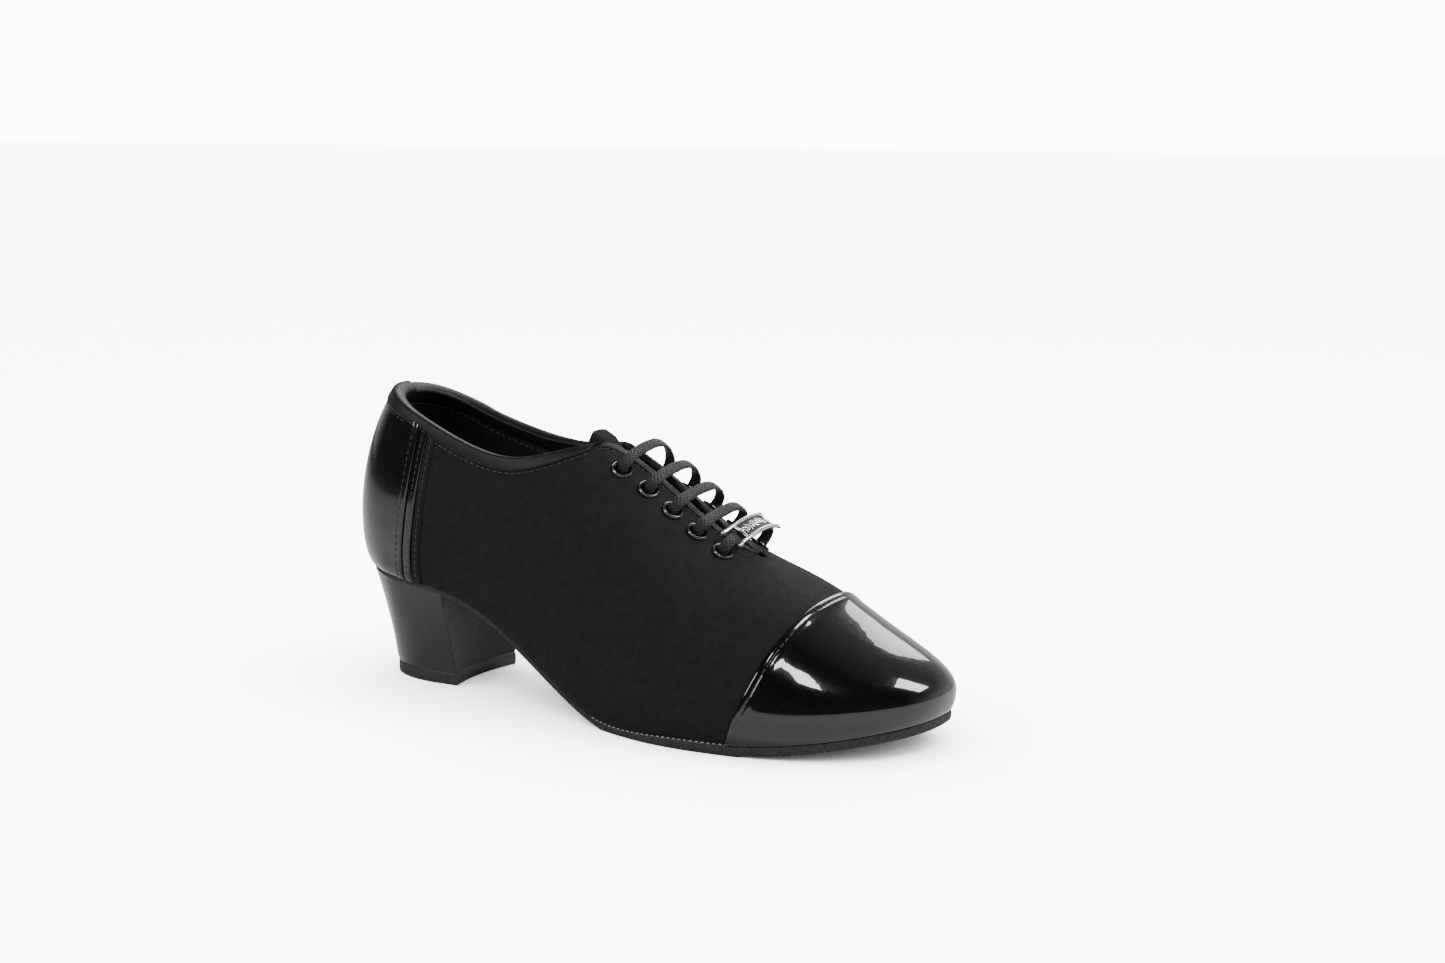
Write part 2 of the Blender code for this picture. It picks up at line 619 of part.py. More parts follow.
def make_tongue(felt, cloth):
    round_end = TONGUE_TOP_X + TONGUE_ROUND
    xs = np.concatenate([TONGUE_TOP_X + TONGUE_ROUND * np.array([0.05, 0.2, 0.5]), np.linspace(round_end, 51, 9)])
    to_top = np.clip((round_end - xs) / TONGUE_ROUND, 0, 1)
    half = (17.0 + 2.0 * smooth((xs + 19) / 60)) * np.sqrt(1 - to_top ** 2)
    across = half[:, None] * np.linspace(-1, 1, 9)
    x = xs[:, None] + 0 * across
    for name, shorter, layer, paint in (("tongue", 0.0, (0.0, 1.2), felt), ("tongue_lining", 0.8, (2.3, 3.0), cloth)):
        there = x + shorter * to_top[:, None]
        low, high = [dome(there, ridge_y(there) + across * (1 - 0.08 * shorter), tongue_drop(there, across) - thick)
                     for thick in layer]
        between(name, low, high, paint)


# ---------------------------------------------------------------- bottom

def outline(u, inset):
    """Feather-line plan of the shoe at u, moved in by inset from the widest line."""
    x, y = plan_point(u, np.zeros_like(u))
    along, across = plan_slope(x, y)
    length = np.hypot(along, across)
    return x - inset * along / length, y - inset * across / length


def sole_grid(us, inset, height, across=5):
    """Grid over the shoe's bottom: stations us from heel to toe, each from outer to inner side."""
    edge = [outline(side * us, inset(plan_point(side * us, np.zeros_like(us))[0])) for side in (1, -1)]
    share = np.linspace(0, 1, across)
    x = edge[0][0][:, None] * (1 - share) + edge[1][0][:, None] * share
    y = edge[0][1][:, None] * (1 - share) + edge[1][1][:, None] * share
    return np.stack([x, y, height(x)], -1)


def rear_stations(to_x, spacing=8):
    return np.concatenate([heel_round(7), columns(SPINE_REAR, to_x, spacing)])


def front_stations(from_x, spacing=7):
    straight = columns(from_x, SPINE_FRONT, spacing)
    return np.concatenate([straight, np.linspace(u_at(SPINE_FRONT), 0.5, 8)[1:]])


def slab(name, us, inset, low, high, paint):
    """Layer of the bottom between two heights over the feather line."""
    levels = [sole_grid(us, inset, lambda x, h=h: feather_z(x) + h(x)) for h in (low, high)]
    return ladder(name, levels, paint)


def flat(value):
    return lambda x: value + 0 * x


def inside(extra):
    """Inset that clears the tucked-in upper and the lining."""
    return lambda x: np.maximum(tuck(x), -LINING[1] + 1.5 * smooth((-45 - x) / 20)) + extra


def sole_thickness(x):
    return SOLE_THICK_WAIST + (SOLE_THICK_FRONT - SOLE_THICK_WAIST) * smooth((x + 20) / 50)


def sole_inset(x):
    proud = SOLE_PROUD_WAIST + (SOLE_PROUD_FRONT - SOLE_PROUD_WAIST) * smooth((x + 15) / 50)
    return tuck(x) - proud


def sock_height(x):
    return SOCK_FRONT + (PAD_THICK + GAP) * smooth((-50 - x) / 14)


def make_outsole(suede):
    """Flat on the floor between the two ends of the tread, and curved up from there."""
    def under(x):
        low = feather_z(x) + SOLE_TOP - sole_thickness(x)
        return np.where((x > TREAD[0]) & (x < TREAD[1]), 0.0, np.maximum(low, 0))
    for name, us in (("outsole_rear", rear_stations(FLEX_X - 0.2)),
                     ("outsole_front", front_stations(FLEX_X + 0.2))):
        yield ladder(name, [sole_grid(us, sole_inset, under),
                            sole_grid(us, sole_inset, lambda x: feather_z(x) + SOLE_TOP)], suede)


def make_inside(board, foam, cloth, steel):
    rear, front = rear_stations(FLEX_X - 0.2), front_stations(FLEX_X + 0.2)
    boards = [slab(f"insole_board_{word}", us, inside(0.5), flat(BOARD[0]), flat(BOARD[1]), board)
              for word, us in (("rear", rear), ("front", front))]
    for word, us in (("rear", rear), ("front", front)):
        slab(f"sock_liner_{word}", us, inside(0.9), sock_height, lambda x: sock_height(x) + SOCK_THICK, cloth)
    slab("heel_pad", rear_stations(-66), inside(2.5), flat(SOCK_FRONT),
         lambda x: SOCK_FRONT + 0.4 + (PAD_THICK - 0.4) * smooth((-66 - x) / 14), foam)
    slab("filler_rear", columns(33, FLEX_X - 0.2, 7), inside(5), flat(FILLER[0]), flat(FILLER[1]), foam)
    slab("filler_front", columns(FLEX_X + 0.2, SPINE_FRONT, 7), inside(5),
         flat(FILLER[0]), flat(FILLER[1]), foam)
    xs = np.linspace(-82, 28, 15)[:, None] + np.zeros(3)
    plan_grid = [xs, ridge_y(xs) + np.array([-6, 0, 6])]
    shank = ladder("shank", [np.stack([*plan_grid, feather_z(xs) + h], -1) for h in (0.0, 1.1)], steel)
    return boards, shank


# ---------------------------------------------------------------- heel

def heel_section(height, inset, front_inset, across=7):
    """Plan of the heel at height 0 (floor) to 1 (seat), from its back to its hollow breast."""
    us = np.concatenate([heel_round(6), columns(SPINE_REAR, HEEL_BREAST_TOP_X, 5)])
    top = sole_grid(us, sole_inset, feather_z, across)
    back = top[0, 0, 0]
    along = (top[..., 0] - back) / (top[-1, 0, 0] - back)
    flare = height ** 1.5
    rear = HEEL_BOTTOM_BACK_X + flare * (back - HEEL_BOTTOM_BACK_X) + inset
    front = HEEL_BREAST_BOTTOM_X + height * (HEEL_BREAST_TOP_X - HEEL_BREAST_BOTTOM_X) - front_inset
    half = np.abs(top[..., 1]).max()
    narrow = (HEEL_BOTTOM_HALF_WIDTH + flare * (half - HEEL_BOTTOM_HALF_WIDTH) - inset) / half
    y = top[..., 1] * narrow
    hollow = HEEL_BREAST_HOLLOW * (1 - (top[..., 1] / half) ** 2)
    return rear + along * (front - rear) - hollow * along ** 4, y


def seat_z(x):
    return feather_z(x) + SOLE_TOP - SOLE_THICK_WAIST - GAP


def heel_levels(inset, front_inset, steps=6):
    """Sections from the top piece up to the seat, which slopes with the sole."""
    levels = []
    bottom = TOP_PIECE_THICK + GAP
    for share in np.linspace(0, 1, steps):
        x, y = heel_section(share * (1 - bottom / HEEL_HEIGHT) + bottom / HEEL_HEIGHT, inset, front_inset)
        levels.append(np.stack([x, y, bottom + share * (seat_z(x) - bottom)], -1))
    return np.array(levels)


def make_heel(wood, patent, satin, rubber):
    block = ladder("heel_block", heel_levels(1.1, 1.2), wood)
    x, y = heel_section(0.0, 0.0, 0.0)
    top_piece = ladder("top_piece", [np.stack([x, y, 0 * x + z], -1) for z in (0, TOP_PIECE_THICK)], rubber)

    def wall(levels):
        """The heel's outside, from the inner front edge round the back to the outer front edge."""
        return np.moveaxis(np.concatenate([levels[:, :0:-1, -1], levels[:, :, 0]], 1), 0, 1)
    between("heel_cover", wall(heel_levels(0, 0)), wall(heel_levels(0.8, 0)), patent)
    front = np.moveaxis(heel_levels(1.1, 0.3)[:, -1], 0, 1)
    between("heel_breast_cover", front, front - (0.6, 0, 0), satin)
    return block, top_piece


def pin(name, profile, spot, metal, walls, clearance=0.4):
    """Nail, screw or rivet, with a clearance hole in every piece that it goes through."""
    turned(name, profile, spot, (0, 0, 1), metal, sides=8)
    high = max(h for _, h in profile)
    grown = [(r + clearance if r else 0, high + 2 if h == high else h - clearance) for r, h in profile]
    hole = turned("cutter_" + name, grown, spot, (0, 0, 1), metal, sides=8)
    for wall in walls:
        cut(wall, hole)


def make_fasteners(steel, board, sole, block, top_piece, shank):
    def nail(radius, head, length, x):
        """Profile from the point up to a head that lies inside the insole board."""
        top = float(feather_z(x)) + BOARD[1] - 0.9
        return [(0, top - length), (radius, top - length), (radius, top - 1.0), (head, top - 1.0),
                (head, top), (0, top)]
    spots = ((-108, -9), (-108, 9), (-90, -13), (-90, 13))
    for number, (x, y) in enumerate(spots, 1):
        pin(f"heel_nail_{number}", nail(1.0, 1.9, 22, x), (x, y, 0), steel, (board, sole, block))
    pin("heel_screw", nail(2.0, 3.4, 32, -98), (-98, 0, 0), steel, (board, sole, block))
    for number, x in enumerate((-79, 12), 1):
        low = float(feather_z(x)) + 0.15
        top = float(feather_z(x)) + BOARD[1] - 0.8
        profile = [(0, low), (1.3, low), (1.3, top - 0.9), (2.4, top - 0.9), (2.4, top), (0, top)]
        pin(f"shank_rivet_{number}", profile, (x, float(ridge_y(x)), 0), steel, (board, shank))
    for number, y in enumerate((-8, 8), 1):
        profile = [(0, 2.0), (1.2, 2.0), (1.2, 15.0), (0, 15.0)]
        name = f"top_piece_pin_{number}"
        turned(name, profile, (-92, y, 0), (0, 0, 1), steel, sides=12)
        hole = turned("cutter_" + name, [(0, 1.6), (1.6, 1.6), (1.6, 15.4), (0, 15.4)], (-92, y, 0),
                      (0, 0, 1), steel, sides=12)
        cut(top_piece, hole)
        cut(block, hole)


def main():
    for thing in list(bpy.data.objects):
        bpy.data.objects.remove(thing, do_unlink=True)
    fabric = material("black_fabric", (0.016, 0.016, 0.017), 0.75)
    patent = material("patent_leather", (0.006, 0.006, 0.007), 0.06)
    satin = material("satin_tape", (0.02, 0.02, 0.02), 0.45)
    cloth = material("lining_cloth", (0.012, 0.012, 0.013), 0.85)
    felt = material("tongue_felt", (0.02, 0.02, 0.022), 0.95)
    cord = material("lace_cord", (0.012, 0.012, 0.013), 0.8)
    nickel = material("gunmetal_nickel", (0.42, 0.42, 0.44), 0.25, 1.0)
    silver = material("silver_plate", (0.75, 0.75, 0.77), 0.2, 1.0)
    steel = material("bright_steel", (0.55, 0.55, 0.56), 0.35, 1.0)
    rubber = material("top_piece_rubber", (0.03, 0.03, 0.03), 0.6)
    suede = material("suede_sole", (0.05, 0.048, 0.046), 0.95)
    board = material("fibre_board", (0.35, 0.24, 0.15), 0.9)
    foam = material("foam", (0.5, 0.48, 0.42), 0.9)
    wood = material("heel_core", (0.5, 0.5, 0.48), 0.6)
    plastic = material("lace_tip_plastic", (0.01, 0.01, 0.01), 0.3)

    upper = make_rear_upper(fabric)
    lining = make_rear_lining(cloth)
    make_forefoot(fabric, cloth, patent, board)
    counter_patch("counter_cover", patent, PATENT, 0.0, (0, 0.2, 0.4, 0.6, 0.8, 0.98), 23)
    counter_patch("counter_stiffener", board, STIFFENER, 22.0, (0, 0.2, 0.4, 0.6, 0.8), 23)
    seam_strip("counter_strip_outer", patent, 1)
    seam_strip("counter_strip_inner", patent, -1)
    make_edges(satin, fabric)
    make_eyelets(nickel, (upper, lining))
    make_tongue(felt, cloth)
    make_lace(cord, plastic)
    make_charm(silver)
    soles = list(make_outsole(suede))
    boards, shank = make_inside(board, foam, cloth, steel)
    block, top_piece = make_heel(wood, patent, satin, rubber)
    make_fasteners(steel, boards[0], soles[0], block, top_piece, shank)


main()
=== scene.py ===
"""Looks of the lace-up practice shoe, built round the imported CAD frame.

The CAD's own surface functions are repeated here in millimetres, so every visible piece is drawn
finely on the same last. MM turns them into metres. +X is the toe, -Y the outer side.
"""
import math

import bmesh
import bpy
import numpy as np
from mathutils import Matrix, Vector

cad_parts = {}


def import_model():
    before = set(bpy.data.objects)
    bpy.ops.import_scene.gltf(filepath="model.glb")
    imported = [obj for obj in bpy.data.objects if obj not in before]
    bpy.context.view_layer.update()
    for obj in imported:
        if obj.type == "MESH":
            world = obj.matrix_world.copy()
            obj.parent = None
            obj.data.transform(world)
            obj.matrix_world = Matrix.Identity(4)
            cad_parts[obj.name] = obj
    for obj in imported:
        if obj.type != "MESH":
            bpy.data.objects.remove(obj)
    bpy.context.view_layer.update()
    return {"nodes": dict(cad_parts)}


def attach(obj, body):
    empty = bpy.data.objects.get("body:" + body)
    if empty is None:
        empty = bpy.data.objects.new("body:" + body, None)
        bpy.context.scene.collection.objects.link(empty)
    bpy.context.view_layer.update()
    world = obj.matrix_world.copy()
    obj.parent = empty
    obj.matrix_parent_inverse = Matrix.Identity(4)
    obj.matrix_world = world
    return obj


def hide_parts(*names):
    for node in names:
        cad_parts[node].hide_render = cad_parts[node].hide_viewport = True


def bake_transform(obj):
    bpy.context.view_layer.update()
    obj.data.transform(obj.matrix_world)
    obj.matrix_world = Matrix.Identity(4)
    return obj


MM = 0.001

# ---------------------------------------------------------------- the last, as in the CAD

STATIONS = (-125, -100, -65, -30, 5, 40, 70, 95, 125)
OUTER_Y = (-30.5, -30.5, -29.5, -34, -42, -45.5, -42, -36.5, -28.5)
INNER_Y = (30, 32, 30, 29, 33, 40.5, 42.5, 40, 34.5)
RIDGE_Y = (0, 0, 0, 1.5, 4, 6.5, 8.5, 9.5, 8.5)
FEATHER_Z = (46.8, 43.5, 36.5, 17.5, 3.8, 3.7, 4.5, 7.5, 12.7)
WIDEST_ABOVE_FEATHER = (19, 19, 21.5, 20, 15, 12, 9.3, 8.6, 7.3)
RIDGE_Z = (128.5, 130, 127, 110, 91, 66.5, 54, 42.5, 36)
TUCK = (4, 4.5, 5.5, 7, 4.3, 2.5, 2.5, 2.1, 2.1)
TOE_START, TOE_END, HEEL_START, HEEL_END = 60.0, 125.0, -85.0, -125.0
SIDE_POWER, TOP_POWER, TOE_POWER, HEEL_POWER = 2.3, 1.86, 2.9, 2.2
SIDE_SHIFT = 0.8
SPINE_REAR, SPINE_FRONT, FAN_RADIUS = -95.0, 95.0, 34.0
STRAIGHT = SPINE_FRONT - SPINE_REAR
QUARTER = math.pi * FAN_RADIUS / 2
LOOP = 2 * STRAIGHT + 4 * QUARTER

TOPLINE_X = (-122, -108, -92, -70, -40, -10, 15)
TOPLINE_OUTER = (120, 115.5, 109, 100, 94.3, 102, 104.5)
TOPLINE_INNER = (120, 114, 106, 99, 95.2, 99.5, 105)
SLIT_HALF, THROAT_X, CORNER_X = 3.2, 50.0, -14.0
CAP_SEAM_X, CAP_SEAM_LEAN = 60.4, 0.358
COUNTER_SEAM_X, COUNTER_SEAM_LEAN = -97.0, 0.12
BINDING_WIDTH, FACING_TAPE_WIDTH = 4.5, 3.3
LINING, HEEL_LINING = (-1.8, -2.7), (-3.2, -4.2)

SOLE_THICK_FRONT, SOLE_THICK_WAIST = 3.1, 1.7
SOLE_TOP = -0.6
TREAD = (6.0, 68.0)
SOLE_PROUD_FRONT, SOLE_PROUD_WAIST = 1.4, 0.3
SOCK_FRONT, SOCK_THICK, PAD_THICK = 3.8, 1.2, 2.5
HEEL_BREAST_BOTTOM_X, HEEL_BREAST_TOP_X, HEEL_BREAST_HOLLOW = -72.5, -75.5, 3.0
HEEL_BOTTOM_HALF_WIDTH, HEEL_BOTTOM_BACK_X = 21.2, -112.0
TOP_PIECE_THICK, HEEL_HEIGHT = 5.2, 42.0

EYELET_X = (-1.0, 10.0, 20.1, 30.2, 40.7)
EYELET_OFFSET = 14.0
TONGUE_TOP_X, TONGUE_ROUND = -20.0, 13.0
CHARM_HALF_LENGTH, CHARM_HALF_WIDTH, CHARM_THICK = 11.4, 4.5, 0.9
CHARM_PANEL = (-6.0, 9.4)
CHARM_SLOT = 2.9

# The line across the forefoot where the shoe bends.
BEND_START, BEND_END = (0.044, 0, 0.010), (0.076, 0, 0.010)


def spline(xs, ys):
    """Natural cubic spline through a few stations."""
    xs, ys = np.asarray(xs, float), np.asarray(ys, float)
    count, step = len(xs), np.diff(xs)
    matrix, right = np.eye(count), np.zeros(count)
    for i in range(1, count - 1):
        matrix[i, i - 1:i + 2] = step[i - 1], 2 * (step[i - 1] + step[i]), step[i]
        right[i] = 6 * ((ys[i + 1] - ys[i]) / step[i] - (ys[i] - ys[i - 1]) / step[i - 1])
    bend = np.linalg.solve(matrix, right)

    def value(x):
        x = np.clip(np.asarray(x, float), xs[0] - 20, xs[-1] + 20)
        i = np.clip(np.searchsorted(xs, x) - 1, 0, count - 2)
        t = x - xs[i]
        slope = (ys[i + 1] - ys[i]) / step[i] - step[i] * (2 * bend[i] + bend[i + 1]) / 6
        return ys[i] + t * (slope + t * (bend[i] / 2 + t * (bend[i + 1] - bend[i]) / (6 * step[i])))
    return value


outer_y, inner_y, ridge_y = (spline(STATIONS, t) for t in (OUTER_Y, INNER_Y, RIDGE_Y))
feather_z, widest_up, ridge_z, tuck = (
    spline(STATIONS, t) for t in (FEATHER_Z, WIDEST_ABOVE_FEATHER, RIDGE_Z, TUCK))
topline_outer, topline_inner = spline(TOPLINE_X, TOPLINE_OUTER), spline(TOPLINE_X, TOPLINE_INNER)


def smooth(t):
    t = np.clip(t, 0, 1)
    return t * t * (3 - 2 * t)


def widest_z(x):
    return feather_z(x) + widest_up(x)


def plan(x, y):
    """0 on the ridge, 1 on the widest line, seen from above."""
    ridge = ridge_y(x)
    width = np.where(y < ridge, ridge - outer_y(x), inner_y(x) - ridge)
    toe = np.clip((x - TOE_START) / (TOE_END - TOE_START), 0, None)
    heel = np.clip((HEEL_START - x) / (HEEL_START - HEEL_END), 0, None)
    return np.abs((y - ridge) / width) ** SIDE_POWER + toe ** TOE_POWER + heel ** HEEL_POWER


def slope(f, x, step=0.05):
    return (f(x + step) - f(x - step)) / (2 * step)


def plan_slope(x, y):
    return slope(lambda a: plan(a, y), x), slope(lambda b: plan(x, b), y)


def dome(x, y, off=0.0):
    """Point of the upper above its widest line at plan position x, y, moved out by off."""
    low, high = widest_z(x), ridge_z(x)
    rise = np.clip(1 - plan(x, y), 0, 1) ** (1 / TOP_POWER)
    along, across = plan_slope(x, y)
    steep = TOP_POWER * rise ** (TOP_POWER - 1) / (high - low)
    tilt = slope(widest_z, x) + rise * (slope(ridge_z, x) - slope(widest_z, x))
    normal = np.stack([along - steep * tilt, across, steep], -1)
    normal /= np.linalg.norm(normal, axis=-1, keepdims=True)
    return np.stack([x, y, low + (high - low) * rise], -1) + np.asarray(off)[..., None] * normal


def ray(u):
    """Start and direction of the plan ray at u: 0 heel, 0.25 outer side, 0.5 toe, 0.75 inner side."""
    run = (np.asarray(u, float) % 1.0) * LOOP
    inner = run > LOOP / 2
    run = np.where(inner, LOOP - run, run)
    x = SPINE_REAR + np.clip(run - QUARTER, 0, STRAIGHT)
    turn = np.clip(run, 0, QUARTER) + np.clip(run - QUARTER - STRAIGHT, 0, QUARTER)
    return x, -np.cos(turn / FAN_RADIUS), np.sin(turn / FAN_RADIUS) * np.where(inner, 1, -1)


def u_at(x):
    """u on the outer side where the spine's x is x; minus this value is the inner side."""
    return (QUARTER + np.asarray(x, float) - SPINE_REAR) / LOOP


def bisect(test, low, high, steps=22):
    """Arrays where test turns from False to True."""
    for _ in range(steps):
        middle = (low + high) / 2
        yes = test(middle)
        low, high = np.where(yes, low, middle), np.where(yes, middle, high)
    return (low + high) / 2


def plan_point(u, v):
    x0, dx, dy = ray(u)
    y0 = ridge_y(x0)
    start = plan(x0, y0)
    level = start + (1 - start) * np.cos(np.clip(v, 0, 1) * math.pi / 2) ** 2
    reach = bisect(lambda r: plan(x0 + r * dx, y0 + r * dy) > level, np.zeros_like(level),
                   np.full_like(level, 90.0))
    return x0 + reach * dx, y0 + reach * dy


def surface(u, v, off=0.0):
    """Point of the upper at u round the foot and v up it: -1 feather line, 0 widest line, 1 ridge."""
    u, v, off = np.broadcast_arrays(*(np.asarray(a, float) for a in (u, v, off)))
    x, y = plan_point(u, v)
    above = dome(x, y, off)
    along, across = plan_slope(x, y)
    length = np.hypot(along, across) + 1e-9
    down = np.clip(-v, 0, 1) * math.pi / 2
    inward = np.minimum(off, 0)
    out = -(1 - np.cos(down)) * tuck(x) + inward * np.cos(down) + np.maximum(off, 0)
    z = widest_z(x) - (widest_up(x) + inward) * np.sin(down)
    below = np.stack([x + out * along / length, y + out * across / length, z], -1)
    return np.where((v < 0)[..., None], below, above)


def edge_test(u, v):
    """True beyond the topline or inside the lacing slit; their corner is rounded."""
    x, y, z = np.moveaxis(surface(u, v), -1, 0)
    top = np.where(y < ridge_y(x), topline_outer(x), topline_inner(x))
    slit = SLIT_HALF * np.sqrt(np.clip((THROAT_X - x) / 30, 0, 1)) - 0.3 - 60 * smooth((-40 - x) / 20)
    over, inside = z - top, slit - np.abs(y - ridge_y(x))
    return (over + inside + np.sqrt((over - inside) ** 2 + 25)) / 2 > 0


EDGE_U = np.linspace(-0.5, 0.5, 2401)
EDGE_V = bisect(lambda v: edge_test(EDGE_U, v), np.zeros(2401), np.ones(2401))
EDGE_V[EDGE_V > 0.9999] = 1.0


def edge_v(u):
    return np.interp(u, EDGE_U, EDGE_V)


def edge_table():
    """For each EDGE_U, how far v falls for each distance below the edge."""
    drop = np.linspace(0, 0.9, 91)
    top = surface(EDGE_U, EDGE_V)
    rows = surface(EDGE_U[:, None], EDGE_V[:, None] - drop)
    away = np.linalg.norm(rows - top[:, None], axis=-1)
    return np.array([np.interp(EDGE_DROP, a, drop) for a in away])


EDGE_DROP = np.linspace(0, 40, 161)
EDGE_FALL = edge_table()


def below_edge(u, distance):
    """v of the point that lies distance under the upper's top edge."""
    u, distance = np.broadcast_arrays(np.asarray(u, float), np.asarray(distance, float))
    i = np.clip((u + 0.5) * 2400, 0, 2399.999)
    j = np.clip(distance * 4, 0, 159.999)
    a, b = i.astype(int), j.astype(int)
    s, t = i - a, j - b
    fall = ((1 - s) * ((1 - t) * EDGE_FALL[a, b] + t * EDGE_FALL[a, b + 1])
            + s * ((1 - t) * EDGE_FALL[a + 1, b] + t * EDGE_FALL[a + 1, b + 1]))
    return edge_v(u) - fall


def seam_u(v, start_x, lean, side):
    """u where the seam x = start_x + lean * z crosses row v, on side 1 (outer) or -1 (inner)."""
    def beyond(u):
        point = surface(side * u, v)
        return point[..., 0] > start_x + lean * point[..., 2]
    return side * bisect(beyond, np.zeros_like(v), np.full_like(v, 0.5))


def normal_at(u, v, off=0.0):
    """Outward direction of the upper."""
    step = surface(u, v, off + 0.5) - surface(u, v, off)
    return step / np.linalg.norm(step, axis=-1, keepdims=True)


def on_ridge(x, across, off):
    """Point at x, this far across from the ridge line, and off from the surface."""
    x = np.asarray(x, float)
    return dome(x, ridge_y(x) + across, off)


# ---------------------------------------------------------------- mesh helpers

def unit(a):
    return a / (np.linalg.norm(a, axis=-1, keepdims=True) + 1e-12)


def add(name, points, faces, paint, uv=None, merge=0.004, sharp=50):
    """Object from points in millimetres; uv is given for each point, in millimetres."""
    mesh = bpy.data.meshes.new(name)
    points = np.asarray(points, float).reshape(-1, 3) + (0, SIDE_SHIFT, 0)
    mesh.from_pydata((points * MM).tolist(), [], faces if isinstance(faces, list) else faces.tolist())
    if uv is not None:
        corner = np.empty(len(mesh.loops), np.int32)
        mesh.loops.foreach_get("vertex_index", corner)
        layer = mesh.uv_layers.new(name="cloth")
        layer.data.foreach_set("uv", np.asarray(uv, float).reshape(-1, 2)[corner].ravel())
    thing = bpy.data.objects.new(name, mesh)
    bpy.context.collection.objects.link(thing)
    mesh.materials.append(paint)
    work = bmesh.new()
    work.from_mesh(mesh)
    bmesh.ops.remove_doubles(work, verts=work.verts, dist=merge * MM)
    bmesh.ops.recalc_face_normals(work, faces=work.faces)
    work.to_mesh(mesh)
    work.free()
    mesh.shade_smooth()
    mesh.set_sharp_from_angle(angle=math.radians(sharp))
    return thing


def quads(count, rows, start=0, close_i=False, close_j=False):
    """Faces of a grid [i, j]."""
    i = np.arange(count if close_i else count - 1)
    j = np.arange(rows if close_j else rows - 1)
    a, b = i[:, None] * rows, ((i + 1) % count)[:, None] * rows
    c, d = j[None], ((j + 1) % rows)[None]
    return start + np.stack([a + c, b + c, b + d, a + d], -1).reshape(-1, 4)


def measure(grid):
    """uv of a grid in millimetres: along i on its middle row, and along j on each column."""
    count, rows = grid.shape[:2]
    middle = grid[:, rows // 2]
    along = length_of(middle)
    steps = np.linalg.norm(np.diff(grid, axis=1), axis=2)
    up = np.concatenate([np.zeros((count, 1)), np.cumsum(steps, 1)], 1)
    return np.stack([np.repeat(along[:, None], rows, 1), up], -1)


def sheet(name, grid, paint, close_i=False, close_j=False, sharp=50):
    return add(name, grid, quads(*grid.shape[:2], close_i=close_i, close_j=close_j), paint, measure(grid),
               sharp=sharp)


def tube(name, sections, paint, sharp=50):
    """Closed band from sections [i, corner]; its ends are capped."""
    count, corners = sections.shape[:2]
    faces = quads(count, corners, close_j=True).tolist()
    faces += [list(range(corners))[::-1], [(count - 1) * corners + k for k in range(corners)]]
    return add(name, sections, faces, paint, measure(sections), sharp=sharp)


def length_of(path):
    return np.concatenate([[0], np.cumsum(np.linalg.norm(np.diff(path, axis=0), axis=1))])


def at(run, values, where):
    return np.stack([np.interp(where, run, values[:, k]) for k in range(values.shape[1])], 1)


def capsule(sides=8):
    """Unit stitch along x, from -0.5 to 0.5, with its middle raised and its ends dipping."""
    profile = ((-0.5, 0.12), (-0.47, 0.55), (-0.4, 0.85), (-0.2, 1.0), (0.2, 1.0), (0.4, 0.85), (0.47, 0.55),
               (0.5, 0.12))
    turn = np.arange(sides) * 2 * math.pi / sides
    points = [[(x, r * math.cos(t), r * math.sin(t) - 0.9 * (2 * abs(x)) ** 3) for t in turn]
              for x, r in profile]
    faces = quads(len(profile), sides, close_j=True).tolist()
    faces += [list(range(sides))[::-1], [(len(profile) - 1) * sides + k for k in range(sides)]]
    return np.array(points).reshape(-1, 3), faces


def stitch_row(name, path, normals, paint, body, length=2.2, gap=0.7, radius=0.22, flat=0.75):
    """A row of thread stitches along a path, each lying on the surface."""
    run = length_of(path)
    count = max(2, int(run[-1] / (length + gap)))
    pitch = run[-1] / count
    middle = (np.arange(count) + 0.5) * pitch
    centre, up = at(run, path, middle), unit(at(run, normals, middle))
    along = unit(at(run, path, middle + pitch * 0.3) - at(run, path, middle - pitch * 0.3))
    side = unit(np.cross(up, along))
    up = np.cross(along, side)
    shape, faces = capsule()
    scale = pitch * length / (length + gap)
    points = (centre[:, None] + along[:, None] * shape[None, :, :1] * scale
              + side[:, None] * shape[None, :, 1:2] * radius
              + up[:, None] * shape[None, :, 2:3] * radius * flat)
    base = np.arange(count)[:, None] * len(shape)
    every = [[k + int(b[0]) for k in face] for b in base for face in faces]
    wear(add(name, points.reshape(-1, 3), every, paint, merge=0.0001, sharp=80), body, "edge_tape")


def shell(name, outer, inner, paint, zipped):
    """Closed cloth whose two layers have no rim along the top row where zipped is True."""
    count, rows = outer.shape[:2]
    size = count * rows
    faces = [quads(count, rows), quads(count, rows, size)[:, ::-1]]

    def rim(line):
        a, b = line[:-1], line[1:]
        return np.stack([a, a + size, b + size, b], -1)
    faces.append(rim(np.arange(count) * rows))
    faces.append(rim(np.arange(rows)))
    faces.append(rim((count - 1) * rows + np.arange(rows)))
    top = np.arange(count) * rows + rows - 1
    keep = ~(zipped[:-1] & zipped[1:])
    faces.append(rim(top)[keep])
    uv = measure(outer)
    return add(name, np.concatenate([outer.reshape(-1, 3), inner.reshape(-1, 3)]),
               np.concatenate(faces), paint, np.concatenate([uv.reshape(-1, 2)] * 2))


def wear(thing, body, slot, *nodes):
    """Ties a piece to its body, or bakes a soft piece's transform, and hides the CAD nodes it stands for. The slot
    is not used.
    """
    if body == "soft":
        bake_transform(thing)
        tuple(BEND_START)
        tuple(BEND_END)
    else:
        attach(thing, body)
    if nodes:
        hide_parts(*nodes)


# ---------------------------------------------------------------- materials

RANGE_KEYS = ("From Min", "From Max", "To Min", "To Max")


